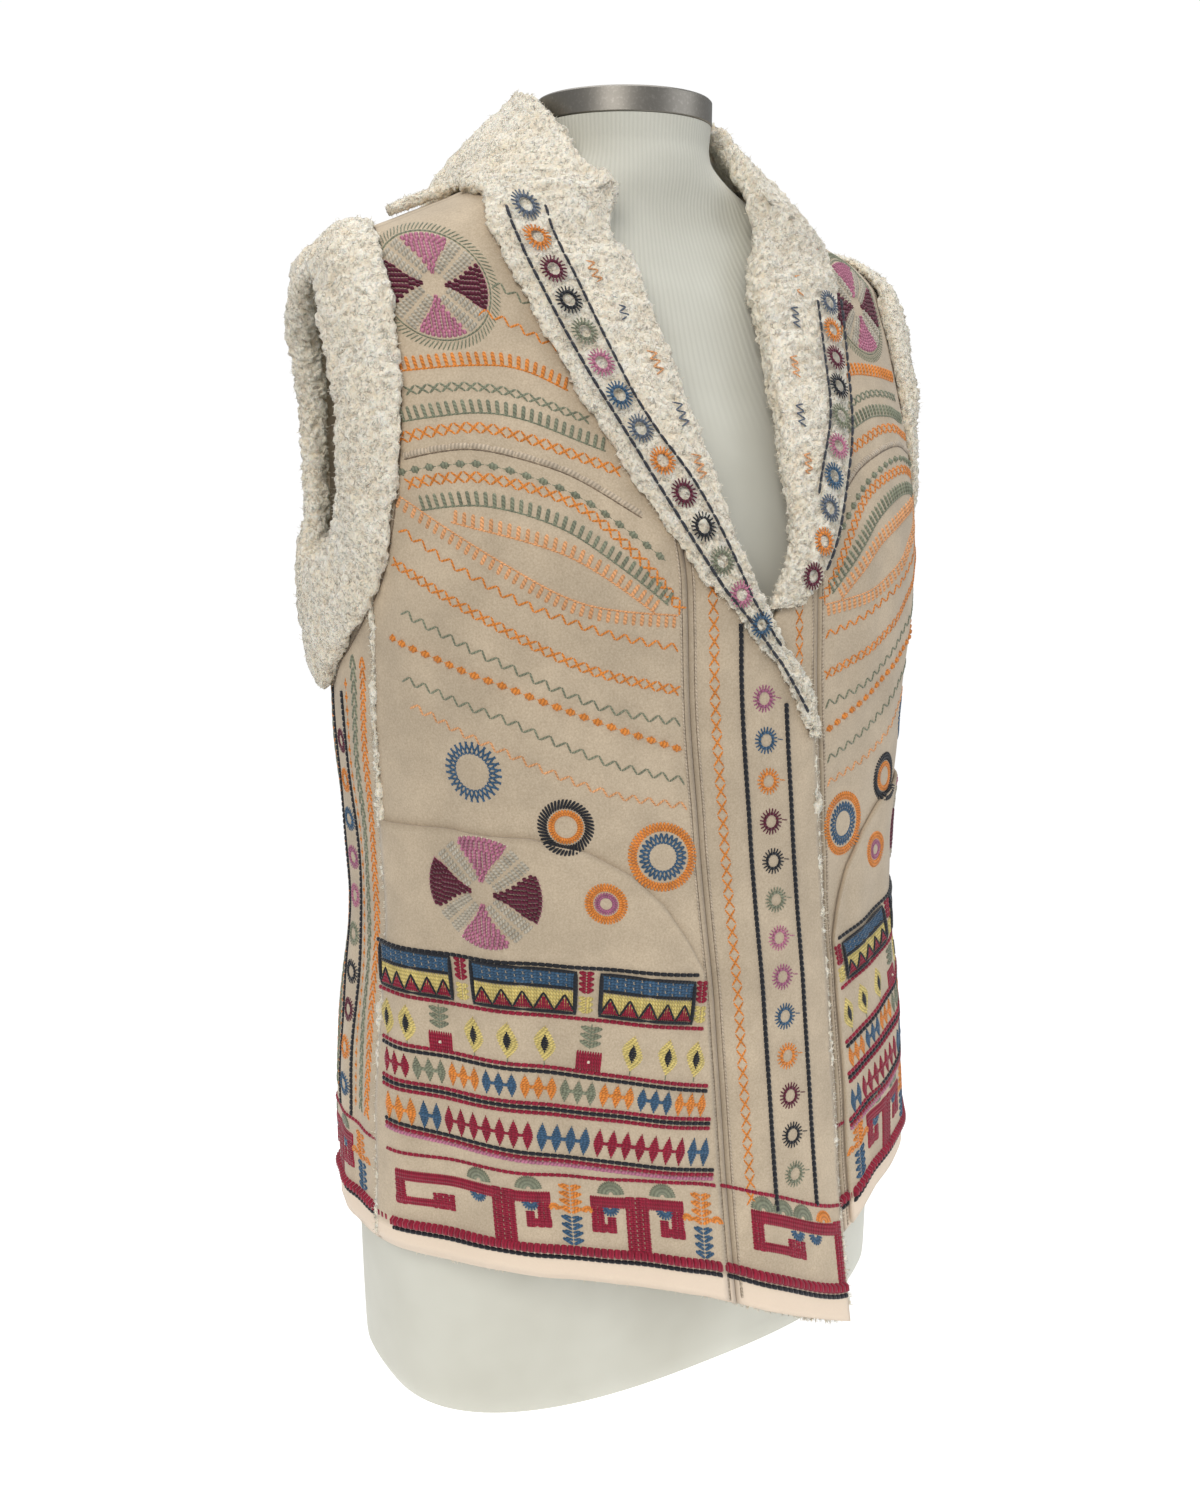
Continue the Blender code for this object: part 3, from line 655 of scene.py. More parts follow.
def make_thread():
    """Twisted wool thread in the dye that each stitch carries, with painted shade in the grooves of its
    twist.
    """
    made, tree, shader, add = node_tree("wool_thread")
    dye = add("ShaderNodeAttribute", attribute_name="dye")
    lie = add("ShaderNodeUVMap", uv_map="twist")
    twist = add("ShaderNodeTexWave", Scale=0.35, Distortion=0.4, bands_direction="DIAGONAL")
    tree.links.new(lie.outputs["UV"], twist.inputs["Vector"])
    # Painted shade: the twist's grooves are dimmed in colour, in step with its bump.
    twist_shade = ramp(add, [(0.15, (0.70, 0.70, 0.70)), (0.75, (1.08, 1.08, 1.08))])
    tree.links.new(twist.outputs["Fac"], twist_shade.inputs["Fac"])
    _, grain = add_grain(tree, add, 1400.0, 120.0)
    colour = blend_colour(tree, add, 1.0, dye.outputs["Color"], twist_shade.outputs["Color"], "MULTIPLY")
    fade = ramp(add, [(0.3, (0.84, 0.84, 0.84)), (0.7, (1.08, 1.08, 1.08))])
    tree.links.new(grain.outputs["Coarse"], fade.inputs["Fac"])
    colour = blend_colour(tree, add, 1.0, colour, fade.outputs["Color"], "MULTIPLY")
    tree.links.new(colour, shader.inputs["Base Color"])
    set_inputs(shader, Roughness=0.72, Sheen_Weight=0.25, Specular_IOR_Level=0.3)
    add_bump(tree, add, shader, [
        (twist.outputs["Fac"], 0.6, 0.0004),
        (grain.outputs["Fine"], 0.3, 0.0002),
    ])
    return made


RIBS_PER_RADIAN = 130.0


def make_jersey():
    """The form's grey-white stretch jersey: a fine knit with a rib round the neck, its troughs dimmed with
    painted shade.
    """
    made, tree, shader, add = node_tree("form_jersey")
    where, grain = add_grain(tree, add, 1100.0, 9.0)
    split = add("ShaderNodeSeparateXYZ")
    tree.links.new(where.outputs["Object"], split.inputs["Vector"])
    behind = maths(tree, add, "SUBTRACT", split.outputs["Y"], NECK_Y)
    angle = maths(tree, add, "ARCTAN2", split.outputs["X"], behind)
    rib = maths(tree, add, "SINE", maths(tree, add, "MULTIPLY", angle, RIBS_PER_RADIAN))
    neck = add("ShaderNodeMapRange")
    set_inputs(neck, From_Min=0.60, From_Max=0.70, To_Min=0.0)
    tree.links.new(split.outputs["Z"], neck.inputs["Value"])
    ribbed = maths(tree, add, "MULTIPLY", rib, neck.outputs["Result"])
    tone = ramp(add, [(0.30, (0.575, 0.565, 0.49)), (0.70, (0.665, 0.66, 0.585))])
    tree.links.new(grain.outputs["Coarse"], tone.inputs["Fac"])
    # Painted shade: the rib's troughs are dimmed in colour, in step with its bump.
    line = ramp(add, [(0.0, (0.95, 0.95, 0.945)), (0.6, (1.02, 1.02, 1.02))])
    tree.links.new(maths(tree, add, "ADD", ribbed, 0.45), line.inputs["Fac"])
    colour = blend_colour(tree, add, 1.0, tone.outputs["Color"], line.outputs["Color"], "MULTIPLY")
    tree.links.new(colour, shader.inputs["Base Color"])
    set_inputs(shader, Roughness=0.86, Sheen_Weight=0.2, Specular_IOR_Level=0.2)
    add_bump(tree, add, shader, [
        (ribbed, 0.25, 0.0004),
        (grain.outputs["Fine"], 0.25, 0.0003),
    ])
    return made


def make_steel():
    """Brushed steel with fine turned rings and a few small marks."""
    made, tree, shader, add = node_tree("brushed_steel")
    where, grain = add_grain(tree, add, 60.0, 30.0)
    ring = add(
        "ShaderNodeTexWave", wave_type="RINGS", rings_direction="Z", Scale=620.0, Distortion=1.5,
    )
    shift = add("ShaderNodeMapping")
    set_inputs(shift, Location=(0.0, -NECK_Y, 0.0))
    tree.links.new(where.outputs["Object"], shift.inputs["Vector"])
    tree.links.new(shift.outputs["Vector"], ring.inputs["Vector"])
    tone = ramp(add, [(0.2, (0.235, 0.220, 0.195)), (0.8, (0.345, 0.325, 0.295))])
    tree.links.new(ring.outputs["Fac"], tone.inputs["Fac"])
    tree.links.new(tone.outputs["Color"], shader.inputs["Base Color"])
    rough = add("ShaderNodeMapRange")
    set_inputs(rough, To_Min=0.34, To_Max=0.52)
    tree.links.new(grain.outputs["Coarse"], rough.inputs["Value"])
    tree.links.new(rough.outputs["Result"], shader.inputs["Roughness"])
    set_inputs(shader, Metallic=1.0)
    add_bump(tree, add, shader, [(ring.outputs["Fac"], 0.12, 0.0002)])
    return made


SUEDE = make_suede()
PILE = make_pile()
THREAD = make_thread()
JERSEY = make_jersey()
STEEL = make_steel()


# Meshes


def new_piece(name, vertices, quads, material, slot):
    """A mesh object from plain arrays, riding on the part's body."""
    name = f"{name}_{slot}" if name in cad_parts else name
    mesh = bpy.data.meshes.new(name)
    mesh.from_pydata(np.reshape(vertices, (-1, 3)), [], np.reshape(quads, (-1, 4)))
    mesh.materials.append(material)
    mesh.shade_smooth()
    piece = bpy.data.objects.new(name, mesh)
    bpy.context.scene.collection.objects.link(piece)
    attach(piece, "root")
    return piece


def ring_quads(stations, around, closed=False):
    """The faces of a tube of rings; a closed tube runs round to its start."""
    i, j = np.meshgrid(np.arange(stations if closed else stations - 1), np.arange(around), indexing="ij")
    near, far = i * around, (i + 1) % stations * around
    following = (j + 1) % around
    return np.stack([near + j, near + following, far + following, far + j], -1).reshape(-1, 4)


def close_up(mesh, fill=True):
    """Fills a tube's open ends and turns its faces outwards."""
    form = bmesh.new()
    form.from_mesh(mesh)
    if fill:
        ends = [edge for edge in form.edges if edge.is_boundary]
        bmesh.ops.holes_fill(form, edges=ends, sides=0)
    bmesh.ops.recalc_face_normals(form, faces=form.faces)
    if form.calc_volume(signed=True) < 0:
        bmesh.ops.reverse_faces(form, faces=form.faces)
    form.to_mesh(mesh)
    form.free()
    mesh.shade_smooth()


def point_values(piece, name, values):
    """Stores one number for each vertex."""
    attribute = piece.data.attributes.new(name, "FLOAT", "POINT")
    attribute.data.foreach_set("value", np.ravel(values).astype(np.float32))


def apply_modifiers(piece):
    """Applies every modifier of a piece."""
    bpy.ops.object.select_all(action="DESELECT")
    piece.select_set(True)
    bpy.context.view_layer.objects.active = piece
    for modifier in list(piece.modifiers):
        bpy.ops.object.modifier_apply(modifier=modifier.name)
    piece.select_set(False)


def grid_quads(columns, rows):
    """The faces of a grid of columns by rows points."""
    i, j = np.meshgrid(np.arange(columns - 1), np.arange(rows - 1), indexing="ij")
    a = i * rows + j
    return np.stack([a, a + rows, a + rows + 1, a + 1], -1).reshape(-1, 4)


def cloth_panel(name, side, turn, height, out, wall, bare, seam):
    """A cut piece of suede: a sheet on the body surface, with its wall turned inwards."""
    points = sided(side, cloth(turn, height, out + drape(side, turn, height)))
    columns, rows = turn.shape
    quads = grid_quads(columns, rows)
    if side > 0:
        quads = quads[:, ::-1]
    piece = new_piece(name, points, quads, SUEDE, "suede")
    point_values(piece, "bare", bare)
    # The seam values are painted shade for the seams, grooves and pocket rims.
    point_values(piece, "seam", seam)
    solid = piece.modifiers.new("wall", "SOLIDIFY")
    solid.thickness = wall
    solid.offset = -1.0
    solid.use_even_offset = True
    apply_modifiers(piece)
    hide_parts(name)
    return piece


SEAM_SHADE = 0.0030
GROOVE_SHADE = 0.0022


def distance_shade(distance, reach):
    """A soft dark line: 1 at the seam, 0 beyond its reach."""
    return np.exp(-((distance / reach) ** 2))


def bare_share(above, reach=0.0150):
    """How bare the suede is at heights above the hem."""
    return 0.85 * (1 - ease((above - reach) / 0.003))


def hem_bare(side, turn, height):
    """How bare and pale the suede is, close above its hem."""
    above = height - hem_height(side, np.abs(turn))
    return bare_share(above)


def make_front(side, name, columns=72, rows=150):
    """A front: from the groove seam to the side seam, and up to the shoulder seam."""
    side_turn = SIDE_SEAM_TURN - seam_margin(SIDE_SEAM_TURN, CHEST)
    shoulder = SHOULDER_TURN - seam_margin(SHOULDER_TURN, SHOULDER)
    low = hem_height(side, groove_turn(side, HEM_LEVEL))
    groove = []
    for level in np.linspace(low, GROOVE_TOP, 24):
        turn = groove_turn(side, level)
        groove.append((float(turn + seam_margin(turn, level)), level))
    lapel = [(float(turn_at(lapel_cut(row[0]), row[0])), row[0]) for row in LAPEL[6:]]
    stand = [(math.radians(row[0]), row[1]) for row in COLLAR_STAND[:2]]
    neck = [lapel[-1]] + stand + [(shoulder, COLLAR_STAND[2][1])]
    armhole_edge = armhole_cut(SIDE_SEAM_ROW, 0)
    armhole_edge[0] = (side_turn, armhole_edge[0][1])
    armhole_edge[-1] = (shoulder, armhole_edge[-1][1])
    seam = [(side_turn, hem_height(side, side_turn)), armhole_edge[0]]
    turns = np.linspace(groove[0][0], side_turn, 13)
    hem = [(t, float(hem_height(side, t))) for t in turns]
    turn, height = patch(
        route((14, hem)),
        route((14, neck)),
        route((15, groove), (8, [groove[-1]] + lapel)),
        route((12, seam), (8, armhole_edge), (3, [armhole_edge[-1], neck[-1]])),
        columns,
        rows,
    )
    past = (turn - groove_turn(side, height)) * BACK_REACH
    shade = 0.55 * distance_shade(past, GROOVE_SHADE) * (height < GROOVE_TOP)
    shade = shade + 0.45 * distance_shade((SIDE_SEAM_TURN - turn) * SIDE_REACH, SEAM_SHADE)
    bare = hem_bare(side, turn, height)
    return cloth_panel(name, side, turn, height, 0.0 * turn, WALL, bare, shade)


def make_band(side, name, columns=26, rows=150):
    """A front band: the strip between the groove seam and the front edge."""

    def edge_along(height):
        shift = smooth(CENTRE_SHIFT, 1, height)
        edge = shift - FRONT_EDGE if side > 0 else -shift - UNDERLAP
        return np.where(height > LAPEL[0][0], np.maximum(edge, lapel_cut(height)), edge)

    base_outer = hem_height(side, groove_turn(side, HEM_LEVEL))
    base_inner = hem_height(side, turn_at(edge_along(np.array(0.08)), 0.08))
    u = np.linspace(0, 1, columns + 1)[:, None]
    v = np.linspace(0, 1, rows + 1)[None]
    base = base_inner + (base_outer - base_inner) * u
    height = base + (BAND_TOP - base) * v
    inner = turn_at(edge_along(height), height)
    groove = groove_turn(side, height)
    turn = inner + (groove - seam_margin(groove, height) - inner) * u
    out = overlap_lift(side, turn, height)
    shade = 0.55 * distance_shade((groove - turn) * BACK_REACH, GROOVE_SHADE)
    bare = bare_share(height - base)
    return cloth_panel(name, side, turn, height, out, WALL, bare, shade)


def make_side(side, name, columns=36, rows=90):
    """A side panel: under the arm, between the front and the back."""
    first = SIDE_SEAM_TURN + seam_margin(SIDE_SEAM_TURN, CHEST)
    last = BACK_SEAM_TURN - seam_margin(BACK_SEAM_TURN, CHEST)
    cut = armhole_cut(SIDE_SEAM_ROW, BACK_SEAM_ROW)
    cut[0], cut[-1] = (first, cut[0][1]), (last, cut[-1][1])
    corners = [(t, float(hem_height(side, t))) for t in (first, last)]
    turn, height = patch(
        route((10, corners)),
        route((10, cut)),
        route((14, [corners[0], cut[0]])),
        route((14, [corners[1], cut[-1]])),
        columns,
        rows,
    )
    shade = 0.45 * distance_shade((turn - SIDE_SEAM_TURN) * SIDE_REACH, SEAM_SHADE)
    shade = shade + 0.50 * distance_shade((BACK_SEAM_TURN - turn) * BACK_REACH, SEAM_SHADE)
    bare = hem_bare(side, turn, height)
    return cloth_panel(name, side, turn, height, 0.0 * turn, WALL, bare, shade)


def make_back(name, columns=110, rows=130):
    """The back: one panel between the two back seams, up to the shoulder seams."""
    first = BACK_SEAM_TURN + seam_margin(BACK_SEAM_TURN, CHEST)
    shoulder = SHOULDER_TURN + seam_margin(SHOULDER_TURN, SHOULDER)
    base = float(hem_height(1, first))
    cut = armhole_cut(BACK_SEAM_ROW, len(ARMHOLE))
    cut[0], cut[-1] = (first, cut[0][1]), (shoulder, cut[-1][1])
    neck = [(shoulder, COLLAR_STAND[2][1])]
    neck += [(math.radians(row[0]), row[1]) for row in COLLAR_STAND[3:]]

    def other(points):
        return [(2 * math.pi - turn, height) for turn, height in points]

    seam, shoulder_seam = [(first, base), cut[0]], [cut[-1], neck[0]]
    turn, height = patch(
        route((20, [(first, base), (2 * math.pi - first, base)])),
        route((20, neck + other(neck[:-1])[::-1])),
        route((12, seam), (9, cut), (3, shoulder_seam)),
        route((12, other(seam)), (9, other(cut)), (3, other(shoulder_seam))),
        columns,
        rows,
    )
    edge = np.minimum(turn - BACK_SEAM_TURN, 2 * math.pi - BACK_SEAM_TURN - turn)
    shade = 0.50 * distance_shade(edge * BACK_REACH, SEAM_SHADE)
    bare = bare_share(height - base)
    return cloth_panel(name, 1, turn, height, 0.0 * turn, WALL, bare, shade)


def make_pocket(side, name, columns=64, rows=60):
    """A patch pocket on a front's lower part, with a curved upper edge."""
    side_turn = SIDE_SEAM_TURN - 0.006
    low = float(hem_height(side, groove_turn(side, HEM_LEVEL))) + POCKET_HEM
    levels = np.linspace(low, POCKET_EDGE[0][1], 9)
    inner = [(float(groove_turn(side, h, POCKET_MARGIN)), h) for h in levels]
    curve = [(float(groove_turn(side, row[1], row[0])), row[1]) for row in POCKET_EDGE[1:-1]]
    outer_top = (side_turn, POCKET_EDGE[-1][1])
    turns = np.linspace(inner[0][0], side_turn, 13)
    hem = [(t, float(hem_height(side, t)) + POCKET_HEM) for t in turns]
    turn, height = patch(
        route((12, hem)),
        route((12, [inner[-1]] + curve + [outer_top])),
        route((10, inner)),
        route((10, [hem[-1], outer_top])),
        columns,
        rows,
    )
    out = PATCH_LIFT + PATCH_WALL + 0.0 * turn
    bare = hem_bare(side, turn, height)
    rim = np.minimum(*np.meshgrid(np.arange(rows + 1)[::-1], np.arange(columns + 1)))
    shade = 0.22 * (rim < 1)
    return cloth_panel(name, side, turn, height, out, PATCH_WALL, bare, shade)


# Pile


def pile_ring(cut, edge, reach, fullness=1.0, lift=0.0):
    """A section of a pile strip that is turned out over the cloth's cut edge."""
    cut, edge = np.asarray(cut, float), np.asarray(edge, float)
    middle = (cut + edge) / 2
    around = np.linalg.norm(outline(middle[0] + 0.01, middle[1]) - outline(*middle)) / 0.01
    span = np.linalg.norm((cut - edge) * (around, 1.0))
    swell = min(max(span / PILE_FULL_WIDTH, LEAST_SWELL), 1.0) * fullness
    ring = []
    for share, past, out in PILE_SECTION:
        beyond = PILE_CLEARANCE + past * (reach - PILE_CLEARANCE) if share == 1.0 else 0.0
        turn, height = edge + (cut - edge) * (share + beyond / span)
        thick = out * swell if out > 0.002 else out
        ring.append(cloth(turn, height, thick + lift))
    return ring


def stand_ring(neck, edge, radius, top):
    """A section of the collar where it stands round the neck and falls outwards."""
    away = np.array([-math.sin(neck[0]), -math.cos(neck[0]), 0.0])
    axis = np.array([0.0, NECK_Y, 0.0])

    def beside_neck(distance, height):
        return axis + away * (radius + distance) + np.array([0.0, 0.0, height])

    inside = cloth(*neck, -0.0032) + np.array([0.0, 0.0, 0.0042])
    deep = inside + (beside_neck(0.0, top - 0.020) - inside) * 0.35
    outer = cloth(*edge, 0.0070)
    shoulder = beside_neck(0.0125, top - 0.008)
    return [
        cloth(*(edge * 0.97 + neck * 0.03), 0.0010),
        cloth(*(edge * 0.73 + neck * 0.27), 0.0014),
        cloth(*(edge * 0.49 + neck * 0.51), 0.0015),
        cloth(*(edge * 0.25 + neck * 0.75), 0.0015),
        cloth(*neck, 0.0014) + np.array([0.0, 0.0, 0.0012]),
        inside,
        deep,
        beside_neck(0.0, top - 0.012),
        beside_neck(0.0045, top),
        shoulder,
        (shoulder + outer) / 2 + away * 0.0035 + np.array([0.0, 0.0, 0.002]),
        outer,
    ]


def collar_rows(side):
    """The collar's lines from the lapel's point to the centre back, a row for each place."""
    rows = []
    for height, roll, edge in LAPEL[0 if side > 0 else LEFT_LAPEL_START:]:
        cut = float(turn_at(lapel_cut(height), height))
        reach = LAPEL_RETURN * min(edge - roll, LAPEL_FULL_WIDTH)
        rows.append((cut, height, float(turn_at(edge, height)), height, reach, 0.0))
        rows[-1] += COLLAR_STAND[0][4:]
    for turn, height, edge_turn, edge_height, radius, top in COLLAR_STAND:
        turns = (math.radians(turn), math.radians(edge_turn))
        rows.append((turns[0], height, turns[1], edge_height, STAND_RETURN, 1.0, radius, top))
    return np.asarray(rows)


def collar_ring(side, rows, t):
    """The collar's section at a place along it."""
    row = spline(rows, t)
    cut, edge, reach, stand = row[:2], row[2:4], row[4], row[5]
    lift = float(overlap_lift(side, cut[0], cut[1]))
    flat = np.asarray(pile_ring(cut, edge, reach, lift=lift))
    upright = np.asarray(stand_ring(cut, edge, *row[6:]))
    return flat + (upright - flat) * ease(stand)


def resample(points, count, closed):
    """Smooth points through given ones; closed paths run round to their start."""
    points = np.asarray(points)
    total = len(points) if closed else len(points) - 1
    at = np.arange(count) * total / count if closed else np.linspace(0, total, count)
    i = np.minimum(at.astype(int), total - 1)
    f = (at - i).reshape((-1,) + (1,) * (points.ndim - 1))
    near = [(i + k) % total if closed else np.clip(i + k, 0, total) for k in (-1, 0, 1, 2)]
    return bend(*(points[k] for k in near), f)


def waves(points, size, seed, count=22):
    """Smooth random lumps of about one size, from -1 to 1."""
    dice = np.random.default_rng(seed)
    ways = dice.normal(size=(count, 3))
    ways /= np.linalg.norm(ways, axis=1, keepdims=True)
    phases = dice.uniform(0, 2 * math.pi, count)
    sizes = size * dice.uniform(0.8, 1.3, count)
    total = np.zeros(points.shape[:-1])
    for way, phase, length in zip(ways, phases, sizes):
        total += np.sin(points @ way * (2 * math.pi / length) + phase)
    return total / math.sqrt(count / 2)


def vertex_values(piece, kind):
    """The place ("co") or the outward direction ("normal") of each vertex."""
    values = np.empty(len(piece.data.vertices) * 3)
    piece.data.vertices.foreach_get(kind, values)
    return values.reshape(-1, 3)


def fluff_up(piece, height, seed):
    """Raises a piece's surface into curly tufts and stores how deep each point lies, as painted shade for
    the dips between tufts.
    """
    points, normals = vertex_values(piece, "co"), vertex_values(piece, "normal")
    bent = points + 0.0016 * np.stack([waves(points, 0.007, seed + k) for k in (1, 2, 3)], -1)
    tufts = np.tanh(1.2 * waves(bent, 0.0078, seed + 4))
    curls = np.tanh(1.2 * waves(bent, 0.0050, seed + 5))
    level = 0.30 + 0.42 * tufts + 0.24 * curls
    lumps = waves(points, 0.030, seed + 6)
    offset = height * (level * 0.85 + lumps * 0.22 - 0.30)
    points = points + normals * offset[:, None]
    piece.data.vertices.foreach_set("co", points.ravel())
    piece.data.update()
    point_values(piece, "hollow_shade", np.clip(0.30 - 0.62 * level, 0.0, 0.85))
    return points, normals


def pile_strip(name, rings, around, along, closed, side):
    """A dense tube of pile through the given sections."""
    rings = resample(rings, along, closed)
    rings = np.swapaxes(resample(np.swapaxes(rings, 0, 1), around, True), 0, 1)
    points = sided(side, rings)
    piece = new_piece(name, points, ring_quads(len(points), around, closed), PILE, "pile")
    close_up(piece.data, not closed)
    return piece


HAIR_WIDTH = 0.00018
TUFT_HEIGHT = 0.0026
HAIRS = 5000


def strands(name, roots, ways, length, width, seed):
    """Loose fibres of pile: a bent tapering blade at each root."""
    dice = np.random.default_rng(seed)
    count = len(roots)
    lean = dice.normal(size=(count, 3)) * 0.75
    tips = ways + lean
    tips /= np.linalg.norm(tips, axis=1, keepdims=True)
    curl = np.cross(tips, dice.normal(size=(count, 3)))
    curl /= np.linalg.norm(curl, axis=1, keepdims=True)
    size = length * dice.uniform(0.5, 1.25, count)[:, None]
    flat = np.cross(tips, curl)
    spine = [
        (roots - ways * 0.0006, 1.0),
        (roots + tips * size * 0.5, 0.8),
        (roots + tips * size * 0.8 + curl * size * 0.45, 0.25),
    ]
    rows = []
    for point, share in spine:
        rows += [point + way * width * share for way in (-flat, curl, flat)]
    corner = np.arange(count)[:, None] * 9 + np.array([0, 1, 3, 4])[:, None, None]
    faces = (corner + np.array([0, 1, 4, 3])).reshape(-1, 4)
    piece = new_piece(name, np.stack(rows, 1), faces, PILE, "pile")
    # Painted shade at each strand's root, fading towards its tip.
    point_values(piece, "hollow_shade", np.tile([0.25] * 3 + [0.05] * 3 + [0.0] * 3, count))
    return piece


def add_fibres(name, points, normals, hairs, length, width, seed):
    """Loose fibres at some of a pile piece's points, chosen at random."""
    chosen = np.random.default_rng(seed).choice(len(points), hairs, replace=False)
    strands(name + "_fibres", points[chosen], normals[chosen], length, width, seed + 1)


def tufted(name, piece, height, seed, hairs, length=0.0024):
    """Finishes a padded pile piece that stands for its node, with tufts and fibres."""
    add_fibres(name, *fluff_up(piece, height, seed), hairs, length, HAIR_WIDTH, seed + 20)
    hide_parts(name)


def make_collar(side, name, seed):
    """Half of the shawl collar, from the lapel's point to the centre back."""
    rows = collar_rows(side)
    rings = [collar_ring(side, rows, t) for t in np.linspace(0, len(rows) - 1, 6 * len(rows))]
    rings[-1][:, 0] = -0.5 * SEAM_GAP
    piece = pile_strip(name, np.array(rings), 76, 360 if side > 0 else 320, False, side)
    tufted(name, piece, TUFT_HEIGHT, seed, HAIRS)


def make_armband(side, name, seed):
    """The pile band that is turned out round an armhole."""
    rows = np.arange(0, len(ARMHOLE), 1 / 6)
    rings = [pile_ring(*armhole(row), ARMBAND_RETURN, ARMBAND_FULLNESS) for row in rows]
    piece = pile_strip(name, np.array(rings), 74, 400, True, side)
    tufted(name, piece, TUFT_HEIGHT, seed, HAIRS)


def round_rings(centre, first, second, radius, count):
    """Circles about the points of a line, between two directions."""
    steps = np.linspace(0, 2 * math.pi, count, endpoint=False)
    rings = [centre + radius * (first * math.cos(t) + second * math.sin(t)) for t in steps]
    return np.stack(rings, 1)


def unit(vectors):
    """Vectors of the same direction and a length of 1."""
    return vectors / np.linalg.norm(vectors, axis=-1, keepdims=True)


ROLL_TOP, ROLL_FOOT, ROLL_LIFT, ROLL_RADIUS = 0.7405, 0.7255, 0.0048, 0.0036


def make_shoulder_roll(side, name, seed):
    """The roll of pile that shows along a shoulder seam."""
    heights = np.linspace(ROLL_TOP, ROLL_FOOT, 26)
    centre = cloth(SHOULDER_TURN, heights, ROLL_LIFT)
    along = unit(np.gradient(centre, axis=0))
    up = unit(np.cross(along, (0.0, 1.0, 0.0)))
    rings = round_rings(centre, up, np.cross(along, up), ROLL_RADIUS, 20)
    piece = pile_strip(name, rings, 22, 40, False, side)
    tufted(name, piece, 0.0008, seed, 380, 0.0016)


# Stitches are charted in flat coordinates. A mark is a stitch: its two ends, its width
# and its dye.


def repeated(length, pitch, stitches, width, dye, last=0.9):
    """A row that repeats some stitches; each is given as shares of the pitch and heights."""
    return [
        (d + a * pitch, low, d + b * pitch, high, width, dye)
        for d in np.arange(0, length - pitch * last, pitch)
        for a, low, b, high in stitches
    ]


def cross_row(length, pitch, tall, dye, width=0.0014):
    """A row of crossed stitches."""
    half = tall / 2
    return repeated(length, pitch, ((0, -half, 1, half), (0, half, 1, -half)), width, dye)


def zigzag_row(length, pitch, tall, dye, width=0.0013):
    """A running zigzag."""
    half = tall / 2
    return repeated(length, pitch, ((0, -half, 0.5, half), (0.5, half, 1, -half)), width, dye)


def comb_row(length, pitch, tall, dye, width=0.0023):
    """A blanket-stitch comb: teeth of satin on a corded base line."""
    marks = []
    for d in np.arange(pitch / 2, length, pitch):
        marks.append((d, -0.0004, d, tall, width, dye))
        marks.append((d - pitch * 0.55, 0.0, d + pitch * 0.55, 0.0, 0.0012, dye))
    return marks


def knot_row(length, pitch, size, dye):
    """A row of tied knots on a fine thread."""
    marks = []
    for d in np.arange(pitch / 2, length, pitch):
        marks.append((d - size * 0.62, size * 0.12, d + size * 0.62, -size * 0.12, size * 0.80, dye))
        marks.append((d - size * 0.15, -size * 0.55, d + size * 0.15, size * 0.55, size * 0.42, dye))
        marks.append((d - pitch / 2, 0.0, d + pitch / 2, 0.0, 0.0007, dye))
    return marks


def line_row(length, dye, width=0.0028, stitch=0.0040, at=0.0):
    """A corded line of short overlapping stitches."""
    starts = np.arange(0, length, stitch)
    return [(d, at, min(d + stitch * 1.12, length), at, width, dye) for d in starts]


def dashed_row(length, dye, width=0.0013, stitch=0.0058, gap=0.0018, at=0.0):
    """A running stitch."""
    return [(d, at, d + stitch - gap, at, width, dye) for d in np.arange(0, length - stitch, stitch)]


def braid_row(length, pitch, tall, dye, width=0.0016):
    """A plait: slanted stitches that meet on a middle line."""
    slants = ((0, tall / 2, 1.3, 0.0), (0, -tall / 2, 1.3, 0.0))
    return repeated(length, pitch, slants, width, dye, 1.0)


def polar(centre, reach, angle):
    """A chart point at a distance and an angle from a centre."""
    return centre[0] + reach * math.cos(angle), centre[1] + reach * math.sin(angle)


def ring(centre, inner, outer, count, dye, width, skew=0.0, start=0.0, sweep=2 * math.pi):
    """Stitches that radiate from a ring, leaning by skew."""
    angles = [start + sweep * (k + 0.5) / count for k in range(count)]
    return [
        (*polar(centre, inner, a), *polar(centre, outer, a + skew), width, dye) for a in angles
    ]


def hoop(centre, radius, count, dye, width):
    """A ring of stitches laid end to end."""
    marks = []
    for k in range(count):
        a, b = (2 * math.pi * (k + e) / count for e in (-0.06, 1.06))
        marks.append((*polar(centre, radius, a), *polar(centre, radius, b), width, dye))
    return marks


def sun(centre, dye, size=1.0, tail=0.0):
    """A small eyelet with short rays, and a tail towards the border line."""
    marks = hoop(centre, 0.0049 * size, 12, dye, 0.0021 * size)
    marks += ring(centre, 0.0046 * size, 0.0084 * size, 20, dye, 0.0010 * size, 0.06)
    if tail:
        start = centre[0] + math.copysign(0.008, tail) * size
        marks.append((start, centre[1], centre[0] + tail, centre[1] - 0.001, 0.0007, dye))
    return marks


def bloom(centre, bands):
    """A rosette of stitched rings; each band: inner and outer radius, count, dye, width, lean."""
    marks = []
    for inner, outer, count, dye, width, lean in bands:
        marks += ring(centre, inner, outer, count, dye, width, lean)
    return marks


